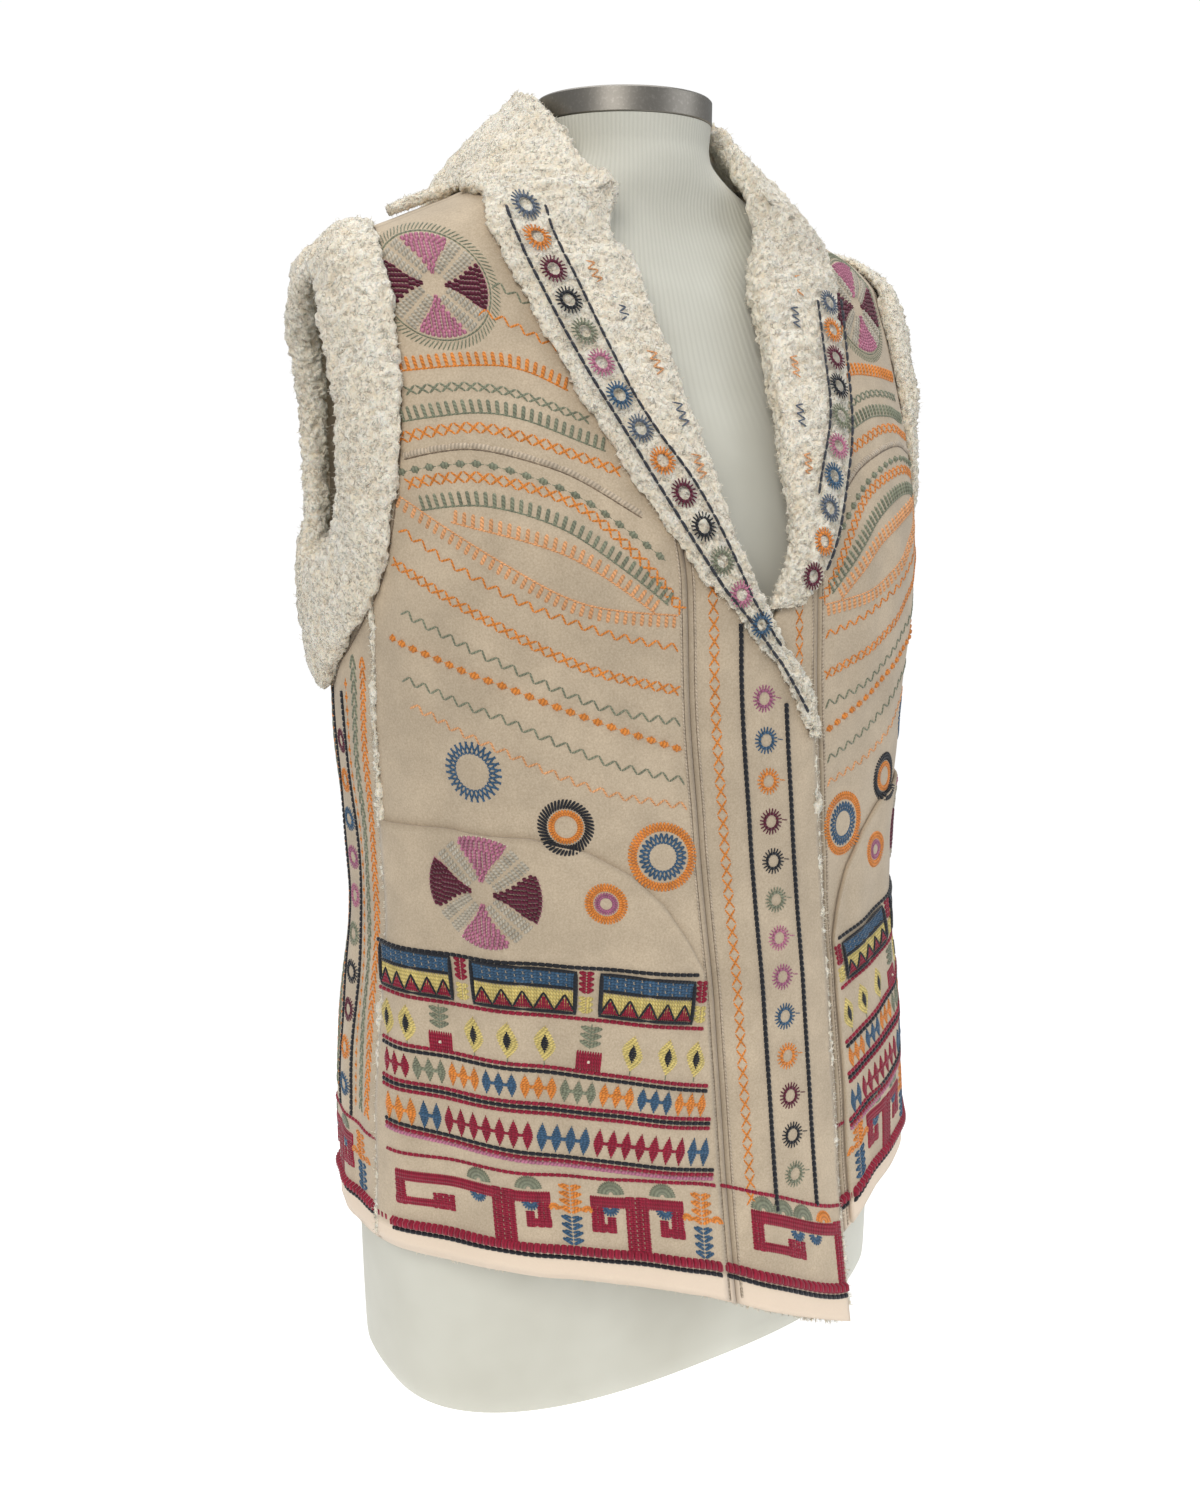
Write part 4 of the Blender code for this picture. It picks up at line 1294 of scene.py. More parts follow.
def sector_fill(centre, inner, outer, middle, half, dye, spot):
    """A sector filled with rows of short stitches, with pale spots between them."""
    marks = []
    row = 0.0019
    for r in np.arange(inner, outer, row):
        reach = half * min(1.0, 0.45 + 0.55 * (r - inner) / (outer - inner) * 1.4)
        count = max(2, int(round(2 * reach * r / 0.0030)))
        for k in range(count):
            a = middle - reach + 2 * reach * (k + 0.5 * (int(r / row) % 2)) / count
            b = a + 2 * reach / count * 0.92
            if b > middle + reach + 0.02:
                b = middle + reach
            marks.append((*polar(centre, r, a), *polar(centre, r, b), 0.0027, dye))
            low, high = polar(centre, r + 0.0009, b - 0.01), polar(centre, r + 0.0016, b + 0.01)
            marks.append((*low, *high, 0.0008, spot))
    return marks


def wheel(centre, radius, hub, tilt=0.0):
    """Four filled sectors between four barred spokes."""
    marks = []
    for k in range(4):
        middle = tilt + k * math.pi / 2
        dye, spot = (("maroon", "pink"), ("pink", "cream"))[k % 2]
        marks += sector_fill(centre, hub, radius, middle, math.radians(27), dye, spot)
        spoke = middle + math.pi / 4
        along = np.array([math.cos(spoke), math.sin(spoke)])
        across = np.array([-along[1], along[0]])
        for r in np.arange(hub * 1.1, radius * 0.98, 0.0025):
            wide = min(0.0078, 0.0040 + 0.16 * r)
            for part in (-1, 1):
                a, b = (centre + along * r + across * part * off for off in (wide, 0.0005))
                marks.append((*a, *b, 0.0023, "wool"))
    return marks


def satin(left, low, right, high, dye, pitch=0.0013, upright=True):
    """A rectangle filled with parallel stitches."""
    if upright:
        places = np.arange(left + pitch / 2, right, pitch)
        return [(x, low, x, high, pitch * 1.25, dye) for x in places]
    places = np.arange(low + pitch / 2, high, pitch)
    marks = []
    for k, y in enumerate(places):
        ends = [left, *np.arange(left + 0.0040 * (1 + k % 2), right - 0.0020, 0.0080), right]
        marks += [(a, y, b + 0.0003, y, pitch * 1.25, dye) for a, b in zip(ends, ends[1:])]
    return marks


def leaf(centre, wide, tall, dye, pitch=0.0013, lean=0.0):
    """A pointed oval of slanted satin stitches."""
    marks = []
    for y in np.arange(-tall / 2 + pitch / 2, tall / 2, pitch):
        half = wide / 2 * (1 - (2 * abs(y) / tall) ** 1.5)
        marks.append((
            centre[0] - half, centre[1] + y - lean * half,
            centre[0] + half, centre[1] + y + lean * half, pitch * 1.25, dye,
        ))
    return marks


def triangle(centre, wide, tall, dye, pitch=0.0011):
    """A triangle of upright satin stitches."""
    marks = []
    for x in np.arange(-wide / 2 + pitch / 2, wide / 2, pitch):
        high = tall * (1 - 2 * abs(x) / wide)
        marks.append((centre[0] + x, centre[1], centre[0] + x, centre[1] + high, pitch * 1.2, dye))
    return marks


def feather(centre, low, high, dye, wide=0.0085, pitch=0.0033):
    """A column of stacked chevrons."""
    marks = []
    for y in np.arange(low, high - pitch * 0.5, pitch):
        for part in (-1, 1):
            for foot, reach, head, width in ((0.15, 0.5, 1.0, 0.0021), (0.75, 0.36, 1.05, 0.0016)):
                tip = centre + part * wide * reach
                marks.append((centre, y + pitch * foot, tip, y + pitch * head, width, dye))
    return marks


def fan(centre, radius, dye, count=13):
    """A half moon of stitches that spread from its base."""
    return ring(centre, radius * 0.12, radius, count, dye, 0.0014, 0.0, 0.0, math.pi)


def drops(centre, radius, dye, count=9):
    """A half moon that hangs down."""
    return ring(centre, radius * 0.15, radius, count, dye, 0.0014, 0.0, math.pi, math.pi)


# Where charts lie on the vest


def front_place(side):
    """Chart coordinates: distance past the groove seam, height."""

    def place(past, height):
        return turn_at(groove_along(side, height) + past, height), height

    return place


def path_place(points, base):
    """Chart coordinates: distance along a curve through the points, height off the curve."""
    points = np.asarray(points, float)
    fine = resample(points, 40 * len(points), False)
    walked = np.concatenate([[0.0], np.cumsum(np.linalg.norm(np.diff(fine, axis=0), axis=1))])
    way = np.gradient(fine, axis=0)
    way /= np.linalg.norm(way, axis=1, keepdims=True)

    def place(along, off):
        x, y, tx, ty = (
            np.interp(along, walked, values)
            for values in (fine[:, 0], fine[:, 1], way[:, 0], way[:, 1])
        )
        return base(x - ty * off, y + tx * off)

    return place, walked[-1]


def hem_place(side):
    """Chart coordinates: distance along the cloth from the centre front, height over the hem."""

    def place(along, above):
        turn = turn_at(along, 0.14)
        height = hem_height(side, turn) + above * hem_stretch(turn)
        return turn_at(along, height), height

    return place


def hem_stretch(turn):
    """The hem border is taller at the closed front than round the sides."""
    return 1.0 + 0.16 * (1 - ease((turn - math.radians(-4)) / math.radians(38)))


# The shape of a thread. Stations: share of its length, width, height. Across: offset, height
STATIONS = (
    (0.0, 0.55, -0.25),
    (0.16, 0.95, 0.80),
    (0.5, 1.0, 1.0),
    (0.84, 0.95, 0.80),
    (1.0, 0.55, -0.25),
)
ACROSS = ((-1.0, -0.15), (-0.48, 0.90), (0.48, 0.90), (1.0, -0.15))
THREAD_SINK = 0.0003
TWIST_PITCH = 0.0012


def pocket_step(past, height):
    """How far a thread on the front climbs to pass over the pocket."""
    table = np.asarray(POCKET_EDGE)
    top = np.interp(past, table[:, 0], table[:, 1])
    return POCKET_OUT * ease((top - height + 0.0012) / 0.0016)


def lay(side, place, marks, ground=0.0, rise=0.55, climbs=False):
    """The threads of a chart, laid on the cloth: vertices, dyes and thread coordinates."""
    ends = np.array([mark[:5] for mark in marks], float)
    dyes = np.array([DYES[mark[5]] for mark in marks], float)
    start, end, width = ends[:, :2], ends[:, 2:4], ends[:, 4]
    line = end - start
    length = np.maximum(np.linalg.norm(line, axis=1), 1e-5)
    way = line / length[:, None]
    normal = np.stack([-way[:, 1], way[:, 0]], -1)
    count = len(ends)
    vertices = np.zeros((count, len(STATIONS), len(ACROSS), 3))
    twist = np.zeros((count, len(STATIONS), len(ACROSS), 2))
    for i, (t, narrow, high) in enumerate(STATIONS):
        for j, (side_step, crown) in enumerate(ACROSS):
            spot = start + line * t + normal * (width * 0.5 * narrow * side_step)[:, None]
            turn, height = place(spot[:, 0], spot[:, 1])
            up = width * rise * (min(high, crown) if high < 0 or crown < 0 else high * crown)
            up = np.maximum(up, -THREAD_SINK)
            under = ground(height) if callable(ground) else ground
            out = up + under + drape(side, turn, height) + overlap_lift(side, turn, height)
            if climbs:
                out = out + pocket_step(spot[:, 0], spot[:, 1])
            vertices[:, i, j] = sided(side, cloth(turn, height, out))
            twist[:, i, j, 0] = length * t / TWIST_PITCH
            twist[:, i, j, 1] = side_step * 0.5
    return vertices, dyes, twist


def lay_row(side, path, chart, *values, **settings):
    """A row of threads along a path; the chart takes the path's length and its values."""
    place, length = path
    return lay(side, place, chart(length, *values), **settings)


def thread_piece(name, batches):
    """One piece of embroidery from batches of laid threads."""
    vertices, dyes, twist = (np.concatenate(parts) for parts in zip(*batches))
    each = len(STATIONS) * len(ACROSS)
    quads = grid_quads(len(STATIONS), len(ACROSS))
    quads = (np.arange(len(vertices))[:, None, None] * each + quads[None]).reshape(-1, 4)
    piece = new_piece(name, vertices, quads, THREAD, "suede")
    dice = np.random.default_rng(len(vertices))
    tones = dyes * dice.uniform(0.88, 1.10, (len(dyes), 1))
    colours = np.ones((len(vertices), each, 4), np.float32)
    colours[..., :3] = tones[:, None]
    attribute = piece.data.color_attributes.new("dye", "FLOAT_COLOR", "POINT")
    attribute.data.foreach_set("color", colours.ravel())
    layer = piece.data.uv_layers.new(name="twist")
    corners = np.empty(len(piece.data.loops), np.int32)
    piece.data.loops.foreach_get("vertex_index", corners)
    layer.data.foreach_set("uv", twist.reshape(-1, 2)[corners].ravel().astype(np.float32))
    form = bmesh.new()
    form.from_mesh(piece.data)
    sampled = form.faces[:4000]
    if sum(face.normal.xy.dot(face.calc_center_median().xy) for face in sampled) < 0:
        bmesh.ops.reverse_faces(form, faces=form.faces)
        form.to_mesh(piece.data)
    form.free()


# Each row of the fronts, from the top. Rows: kind, dye, pitch, height, then the curve as
# distances past the groove seam and heights
FRONT_ROWS = (
    ("comb", "orange", 0.0043, 0.0076, ((0.046, 0.628), (0.080, 0.641), (0.140, 0.638))),
    ("cross", "sage", 0.0068, 0.0052, ((0.038, 0.612), (0.090, 0.629), (0.142, 0.627))),
    ("comb", "sage", 0.0044, 0.0078, ((0.033, 0.595), (0.088, 0.615), (0.144, 0.611))),
    ("cross", "orange", 0.0070, 0.0066, ((0.027, 0.584), (0.095, 0.607), (0.148, 0.602))),
    ("knot", "sage", 0.0088, 0.0042, ((0.012, 0.536), (0.055, 0.571), (0.104, 0.588), (0.152, 0.584))),
    ("cross", "orange", 0.0070, 0.0066, ((0.003, 0.508), (0.052, 0.563), (0.106, 0.581), (0.154, 0.577))),
    ("comb", "sage", 0.0045, 0.0080, ((0.012, 0.512), (0.064, 0.552), (0.106, 0.566), (0.144, 0.564))),
    ("comb", "peach", 0.0048, 0.0076, ((0.020, 0.508), (0.068, 0.540), (0.128, 0.558))),
    ("comb_down", "peach", 0.0048, 0.0074,
     ((0.006, 0.506), (0.060, 0.514), (0.104, 0.537), (0.155, 0.571))),
    ("zigzag", "orange", 0.0094, 0.0048, ((0.006, 0.488), (0.052, 0.499), (0.106, 0.521), (0.164, 0.556))),
    ("cross", "orange", 0.0072, 0.0062, ((0.006, 0.464), (0.060, 0.479), (0.115, 0.506), (0.172, 0.537))),
    ("zigzag", "sage", 0.0096, 0.0050, ((0.006, 0.446), (0.052, 0.457), (0.107, 0.482), (0.174, 0.512))),
    ("knot", "orange", 0.0080, 0.0044, ((0.006, 0.430), (0.053, 0.448), (0.108, 0.470), (0.176, 0.493))),
    ("zigzag", "sage", 0.0096, 0.0050, ((0.006, 0.412), (0.055, 0.427), (0.108, 0.451), (0.170, 0.471))),
    ("zigzag", "peach", 0.0094, 0.0048, ((0.006, 0.397), (0.056, 0.409), (0.110, 0.433), (0.166, 0.456))),
    ("zigzag", "orange", 0.0090, 0.0048, ((0.046, 0.651), (0.078, 0.668), (0.094, 0.671))),
    ("zigzag", "sage", 0.0090, 0.0046, ((0.052, 0.672), (0.070, 0.684), (0.080, 0.686))),
)


ROW_KINDS = {
    "comb": comb_row, "cross": cross_row, "knot": knot_row, "braid": braid_row, "zigzag": zigzag_row,
}


def row_marks(length, kind, pitch, tall, dye):
    """The chart of one row; the teeth of a comb_down hang from its line."""
    if kind == "comb_down":
        return comb_row(length, pitch, -tall, dye)
    return ROW_KINDS[kind](length, pitch, tall, dye)


def front_rows(side):
    """The curved rows across a front, with the stitched tuck between them."""
    base = front_place(side)
    batches = []
    for kind, dye, pitch, tall, points in FRONT_ROWS:
        path = path_place(points, base)
        batches.append(lay_row(side, path, row_marks, kind, pitch, tall, dye))
    tuck = path_place(((0.020, 0.561), (0.060, 0.586), (0.107, 0.598), (0.147, 0.593)), base)
    batches.append(lay_row(side, tuck, line_row, "suede", 0.0034, 0.012, rise=0.35))
    # The dark "shadow" thread just under the tuck is painted shadow below its ridge.
    batches.append(lay_row(side, tuck, line_row, "shadow", 0.0010, 0.006, -0.0021, rise=0.3))
    return batches


def front_blooms(side):
    """The rosettes of a front, above and beside its pocket."""
    place = front_place(side)
    blue = bloom((0.128, 0.420), [
        (0.0098, 0.0178, 28, "blue", 0.0013, 0.26),
        (0.0098, 0.0178, 28, "blue", 0.0013, -0.26),
    ])
    dark = bloom((0.078, 0.389), [
        (0.0103, 0.0165, 44, "black", 0.0016, 0.22),
        (0.0062, 0.0103, 34, "orange", 0.0017, 0.05),
    ])
    warm = bloom((0.0235, 0.368), [
        (0.0152, 0.0212, 58, "orange", 0.0018, 0.14),
        (0.0078, 0.0148, 26, "blue", 0.0013, 0.24),
        (0.0078, 0.0148, 26, "blue", 0.0013, -0.24),
    ])
    small = bloom((0.060, 0.343), [
        (0.0070, 0.0126, 40, "orange", 0.0016, 0.12),
        (0.0032, 0.0070, 24, "mauve", 0.0015, 0.05),
    ])
    on_front = lay(side, place, blue + dark + warm, climbs=True)
    turning = wheel((0.129, 0.3500), 0.0335, 0.0078, math.radians(4))
    on_pocket = lay(side, place, small + turning, POCKET_OUT)
    centre = (0.107, 0.685)
    rays = ring(centre, 0.0312, 0.0362, 90, "sage", 0.0008, 0.10)
    rays += hoop(centre, 0.0305, 70, "sage", 0.0011)
    shoulder = lay(side, place, wheel(centre, 0.0298, 0.0070, math.radians(2)) + rays)
    return [on_front, on_pocket, shoulder]


POCKET_OUT = PATCH_LIFT + PATCH_WALL

# Lines of the pocket's border, as heights at 10, 105 and 185 mm past the groove seam
POCKET_LINES = (
    (0.2950, 0.3085, 0.3080),
    (0.2625, 0.2785, 0.2800),
    (0.2265, 0.2465, 0.2500),
    (0.2045, 0.2225, 0.2260),
    (0.1735, 0.1925, 0.2000),
)
SEAM_LEVEL = 0.235
ALONG = np.linspace(0.10, 0.30, 200)
SEAM_ALONG = float(np.interp(SIDE_SEAM_TURN, turn_at(ALONG, 0 * ALONG + SEAM_LEVEL), ALONG))
POCKET_SPAN = SEAM_ALONG - float(groove_along(1, SEAM_LEVEL)) - 0.0095 - 0.0060
DRAWN_SPAN = 0.178


def between(line, other, share):
    """The curve at a share of the way between two of the pocket's lines."""
    first, second = POCKET_LINES[line], POCKET_LINES[other]
    heights = [a + (b - a) * share for a, b in zip(first, second)]
    return [(0.0095, heights[0]), (0.105, heights[1]), (0.0095 + POCKET_SPAN, heights[2])]


# The threads of each line of the pocket's border: dye, height off the line
LINE_THREADS = (
    (("black", 0.0),),
    (("crimson", 0.0),),
    (("crimson", 0.0016), ("black", -0.0014)),
    (("crimson", 0.0034), ("black", 0.0008), ("crimson", -0.0020)),
    (("black", 0.0034), ("crimson", 0.0006), ("pink", -0.0018)),
)


def pocket_border(side):
    """The pocket's woven-look border: lines, blocks, lozenges and bead chains."""
    base = front_place(side)
    batches = []

    def put(line, other, share, marks, extra=0.0):
        place, _ = path_place(between(line, other, share), base)
        wide = POCKET_SPAN / DRAWN_SPAN
        marks = [(m[0] * wide, m[1], m[2] * wide, *m[3:]) for m in marks]
        batches.append(lay(side, place, marks, POCKET_OUT + extra))

    for line, rows in enumerate(LINE_THREADS):
        for dye, at in rows:
            put(line, line, 0.0, line_row(DRAWN_SPAN + 0.001, dye, 0.0026, 0.0036, at))
    pocket_blocks(put)
    pocket_lozenges(put)
    pocket_beads(put)
    return batches


def pocket_blocks(put):
    """Framed blocks with a row of peaks, between feather columns."""
    tall = 0.0285
    ground, peaks, frames = [], [], []
    for middle, half in ((0.0320, 0.0240), (0.0935, 0.0250), (0.1535, 0.0225)):
        left, right = middle - half, middle + half
        ground += satin(left, tall * 0.64, right, tall * 0.95, "blue", 0.0017, False)
        ground += satin(left, 0.0040, right, tall * 0.60, "yellow", 0.0015)
        wide = 2 * half / 5
        for k in range(5):
            foot = left + (k + 0.5) * wide
            peaks += triangle((foot, 0.0040), wide * 0.88, 0.0092, "crimson")
            for part in (-1, 1):
                frames.append((foot + part * wide * 0.48, 0.0042, foot, 0.0138, 0.0013, "black"))
        for at in (0.0030, tall * 0.62, tall * 0.97):
            frames += [(left, at, middle, at, 0.0020, "black"), (middle, at, right, at, 0.0020, "black")]
        for edge in (left, right):
            frames.append((edge, 0.0022, edge, tall * 0.99, 0.0026, "black"))
    for middle in (0.0030, 0.0632, 0.1250):
        ground += feather(middle, tall * 0.52, tall * 0.95, "crimson", 0.0074)
        ground += feather(middle, 0.0030, tall * 0.50, "yellow", 0.0074)
    put(1, 1, 0.0, ground)
    put(1, 1, 0.0, peaks, 0.0007)
    put(1, 1, 0.0, frames, 0.0011)


def pocket_lozenges(put):
    """A row of leaves and small trees below the blocks."""
    for spot in (0.0060, 0.0218, 0.0405, 0.0845, 0.1030, 0.1210, 0.1590, 0.1735):
        put(1, 2, 0.52, leaf((spot, 0.0), 0.0122, 0.0205, "yellow", 0.0014, 0.35))
        put(1, 2, 0.52, leaf((spot, 0.0), 0.0048, 0.0105, "black", 0.0013), 0.0006)
        put(1, 2, 0.52, [(spot, -0.0095, spot, -0.0135, 0.0008, "sage")])
    for spot in (0.0622, 0.1405):
        put(1, 2, 0.52, satin(spot - 0.0066, -0.0145, spot + 0.0066, -0.0010, "crimson", 0.0013))
        put(1, 2, 0.52, [(spot - 0.0008, -0.0078, spot + 0.0008, -0.0078, 0.0018, "cream")], 0.0008)
        tree = feather(spot, 0.0000, 0.0140, "sage", 0.0110, 0.0042)
        put(1, 2, 0.52, tree + [(spot, -0.001, spot, 0.0150, 0.0012, "sage")])


def pocket_beads(put):
    """Two chains of leaf-shaped beads."""
    beads = []
    dyes = ("orange", "blue", "orange", "sage", "orange", "blue", "orange", "sage", "crimson")
    for index, dye in enumerate(dyes):
        for k in range(3):
            spot = 0.0045 + (index * 3 + k) * 0.00655
            beads += leaf((spot, 0.0), 0.0056, 0.0135, dye, 0.0014)
        beads.append((spot - 0.0160, 0.0, spot + 0.003, 0.0, 0.0022, dye))
    put(2, 3, 0.46, beads)
    beads, spot = [], 0.0045
    counts = (("blue", 2), ("crimson", 7), ("blue", 4), ("crimson", 7), ("blue", 2), ("orange", 3))
    for dye, count in counts:
        first = spot
        for _ in range(count):
            beads += leaf((spot, 0.0), 0.0060, 0.0165, dye, 0.0014)
            spot += 0.00710
        beads.append((first - 0.0030, 0.0, spot - 0.0034, 0.0, 0.0024, dye))
    put(3, 4, 0.54, beads)


HORN = 0.0078
HEM_STEP = 0.0768
FIRST_STEM = 0.0577


def horn(part, stem, reach, high):
    """A ram's horn: a bar from the stem's top that turns down and curls back."""
    tip = stem + part * reach
    hook = high - 0.0225
    inner, curl = tip - part * reach * 0.56, tip - part * (reach * 0.56 + 0.0005)
    bars = (
        (stem, high - HORN, tip, high, True),
        (tip - part * HORN, hook, tip, high - HORN * 0.9, False),
        (inner, hook, tip, hook + HORN * 0.75, True),
        (curl, hook, tip - part * reach * 0.36, hook + 0.0098, False),
    )
    marks = []
    for x0, low, x1, top, upright in bars:
        marks += satin(min(x0, x1), low, max(x0, x1), top, "crimson", 0.0014, upright)
    return marks


def hem_motifs(first, last, groove, low, high, wide_end=False):
    """Paired horns, feather columns, fans and drops between two places on the hem."""
    marks = []
    for k in range(-1, 8):
        stem = groove + FIRST_STEM + k * HEM_STEP
        if first + 0.030 < stem < last - 0.026:
            marks += satin(stem - 0.0070, low, stem + 0.0070, high - 0.0010, "crimson", 0.0014, False)
            reach_last = wide_end and stem + HEM_STEP > last - 0.026
            for part in (-1, 1):
                reach = last - stem - 0.0080 if reach_last and part > 0 else 0.0250
                marks += horn(part, stem + part * 0.0020, reach, high - 0.001)
                marks += fan((stem + part * 0.0150, high + 0.0002), 0.0082, "sage", 18)
                marks += drops((stem + part * 0.0160, high - HORN), 0.0058, "blue")
        column = stem + HEM_STEP / 2
        if first + 0.004 < column < last - (0.040 if wide_end else 0.006):
            marks += feather(column, 0.0410, 0.0600, "orange", 0.0135, 0.0045)
            marks += feather(column, 0.0220, 0.0405, "blue", 0.0125, 0.0045)
            for part in (-1, 1):
                marks += fan((column + part * 0.0098, high - 0.0120), 0.0042, "orange", 9)
    return marks


def hem_border(side):
    """The hem's border from the front edge to the centre back, over the pocket's foot."""
    place = hem_place(side)
    groove = float(groove_along(side, 0.15))
    low, high = 0.0180, 0.0555
    edge = -0.0515 if side > 0 else -0.006
    pocket_end = groove + 0.0095 + POCKET_SPAN
    batches = []
    spans = ((edge, groove + 0.0075, 0.0), (groove + 0.0085, pocket_end, POCKET_OUT),
             (pocket_end + 0.004, half_girth(), 0.0))
    for first, last, ground in spans:
        lines = []
        for dye, at, wide in (("crimson", low + 0.0012, 0.0064), ("black", low - 0.0034, 0.0030),
                              ("crimson", 0.0645, 0.0024)):
            for mark in line_row(last - first, dye, wide, 0.0038, at):
                lines.append((first + mark[0], mark[1], first + mark[2], *mark[3:]))
        batches.append(lay(side, place, lines, ground))
    on_pocket = hem_motifs(groove - 0.010, pocket_end, groove, low, high, True)
    batches.append(lay(side, place, on_pocket, POCKET_OUT))
    behind = hem_motifs(pocket_end + 0.004, half_girth(), groove, low, high)
    batches.append(lay(side, place, behind))
    if side > 0:
        stem = edge + 0.0040
        corner = satin(stem - 0.0036, low, stem + 0.0036, high, "crimson", 0.0014, False)
        corner += horn(1, stem, 0.0660, high)
        corner += fan((stem + 0.0120, high), 0.0070, "orange", 14)
        for spot in (0.0290, 0.0440, 0.0580):
            corner += fan((stem + spot, high), 0.0082, "sage", 18)
        for spot in (0.0200, 0.0340):
            corner += drops((stem + spot, high - HORN), 0.0058, "blue")
        batches.append(lay(side, place, corner))
    return batches


SUN_DYES = ("mauve", "blue", "orange", "maroon", "black", "sage", "pink")


def band_threads(side):
    """The crossed column, the two black lines and the column of suns on a front band."""
    base = front_place(side)
    top = 0.556 if side > 0 else 0.520
    path = path_place(((-0.0145, 0.150), (-0.0145, 0.350), (-0.0148, top)), base)
    batches = [lay_row(side, path, cross_row, 0.0096, 0.0062, "orange", 0.0012)]
    if side > 0:
        for at, high in ((-0.0312, 0.500), (-0.0625, 0.452)):
            low = 0.142 if at > -0.05 else 0.136
            path = path_place(((at, low), (at, 0.300), (at, high)), base)
            batches.append(lay_row(side, path, line_row, "black", 0.0032, 0.0036))
        for k in range(13):
            spot = (-0.0468, 0.4560 - k * 0.02455)
            batches.append(lay(side, base, sun(spot, SUN_DYES[k % 7], 1.0, -0.0125)))
    return batches


def groove_piping(side):
    """The stitched channel along the groove seam: two fine ridges with a sunk strip, and two dark threads
    inside them as painted shade in the channel.
    """
    base = front_place(side)
    top = 0.560 if side > 0 else 0.540
    low = float(hem_height(side, groove_turn(side, HEM_LEVEL))) + 0.002
    batches = []
    for at, wide, dye, rise in ((-0.0042, 0.0012, "suede", 0.55), (0.0046, 0.0012, "suede", 0.55),
                                (-0.0033, 0.0006, "shadow", 0.30), (0.0037, 0.0006, "shadow", 0.30)):
        path = path_place(((at, low), (at, 0.30), (at, top)), base)
        batches.append(lay_row(side, path, line_row, dye, wide, 0.0070, rise=rise))
    return batches


def lapel_top(height, above):
    """How high the lapel's pile stands, thinner towards its point, with some height above it."""
    wide = np.abs(lapel_cut(height) - smooth(LAPEL, 2, height))
    return PILE_HEIGHT * np.clip(wide / PILE_FULL_WIDTH, LEAST_SWELL, 1.0) + above


def lapel_threads(side):
    """Suns between two dashed lines near the lapel's outer edge, worked through its pile."""
    on_pile, above_pile = (lambda h: lapel_top(h, 0.0002)), (lambda h: lapel_top(h, 0.0015))
    batches = []
    low, high = (0.446, 0.728) if side > 0 else (0.526, 0.684)
    for share, end, wide in ((0.10, 0.16, 0.0019), (0.45, 0.84, 0.0017)):
        path = lapel_path(share, end, low if share < 0.3 else low + 0.040, high)
        batches.append(
            lay_row(side, path, dashed_row, "slate", wide, 0.0068, 0.0003, ground=above_pile)
        )
    for k, level in enumerate(np.arange(high - 0.006, 0.500 if side > 0 else 0.520, -0.0170)):
        path, _ = lapel_path(0.28, 0.52, level - 0.012, level + 0.012)
        dye = ("greyblue", "orange", "maroon", "black", "sage", "pink", "blue")[k % 7]
        batches.append(lay(side, path, sun((0.0125, 0.0), dye, 0.92), above_pile))
    traces = ((0.66, "peach", 0.690), (0.76, "greyblue", 0.670), (0.88, "peach", 0.640),
              (0.92, "greyblue", 0.612), (0.90, "peach", 0.584))
    for share, dye, level in traces:
        path = lapel_path(share, share, level - 0.008, level + 0.008)
        batches.append(lay_row(side, path, zigzag_row, 0.0044, 0.0060, dye, 0.0009, ground=on_pile))
    return batches


def lapel_path(share, end, low, high):
    """A line at a share of the lapel's width that turns to another share at its point."""
    heights = np.linspace(low, high, 12)
    edge = smooth(LAPEL, 2, heights)
    part = end + (share - end) * ease((heights - 0.545) / 0.075)
    along = edge + (lapel_cut(heights) - edge) * part
    base = lambda s, height: (turn_at(s, height), height)
    return path_place(np.stack([along, heights], -1), base)


def side_threads(side):
    """Upright rows on a side panel, mirrored about its middle line."""
    batches = []
    middle = math.radians(96.5)
    rows = ((13.0, "braid", "orange", 0.0062, 0.0070), (9.2, "braid", "sage", 0.0075, 0.0062),
            (6.3, "knot", "orange", 0.0080, 0.0022))
    for part in (-1, 1):
        for degrees, kind, dye, pitch, tall in rows:
            turn = middle + part * math.radians(degrees)
            path = upright_path(turn, 0.192, 0.468 if degrees < 8 else 0.480)
            batches.append(lay_row(side, path, row_marks, kind, pitch, tall, dye))
        path = upright_path(middle + part * math.radians(4.2), 0.184, 0.455)
        batches.append(lay_row(side, path, line_row, "black", 0.0026, 0.0036))
    place, length = upright_path(middle, 0.190, 0.450)
    for k in range(int(length / 0.0245)):
        batches.append(lay(side, place, sun((0.012 + k * 0.0245, 0.0), SUN_DYES[(k + 1) % 7], 0.95)))
    return batches


def armband_edge_shadow(side):
    """A thin dark thread along an armband's outer edge: painted shadow where the pile band meets the
    suede.
    """
    base = lambda x, height: (x / EDGE_REACH, height)
    rows = np.arange(0, len(ARMHOLE), 1 / 3)
    edge = np.array([armhole(row)[1] for row in rows]) * (EDGE_REACH, 1.0)
    return [lay_row(side, path_place(edge, base), line_row, "shadow", 0.0013, 0.006, rise=0.35)]


def upright_path(turn, low, high):
    """A line straight up the vest at one turn."""
    scale = float(np.linalg.norm(outline(turn + 0.01, 0.3) - outline(turn, 0.3)) / 0.01)
    base = lambda x, height: (turn + x / scale, height)
    return path_place(((0.0, low), (0.0, (low + high) / 2), (0.0, high)), base)


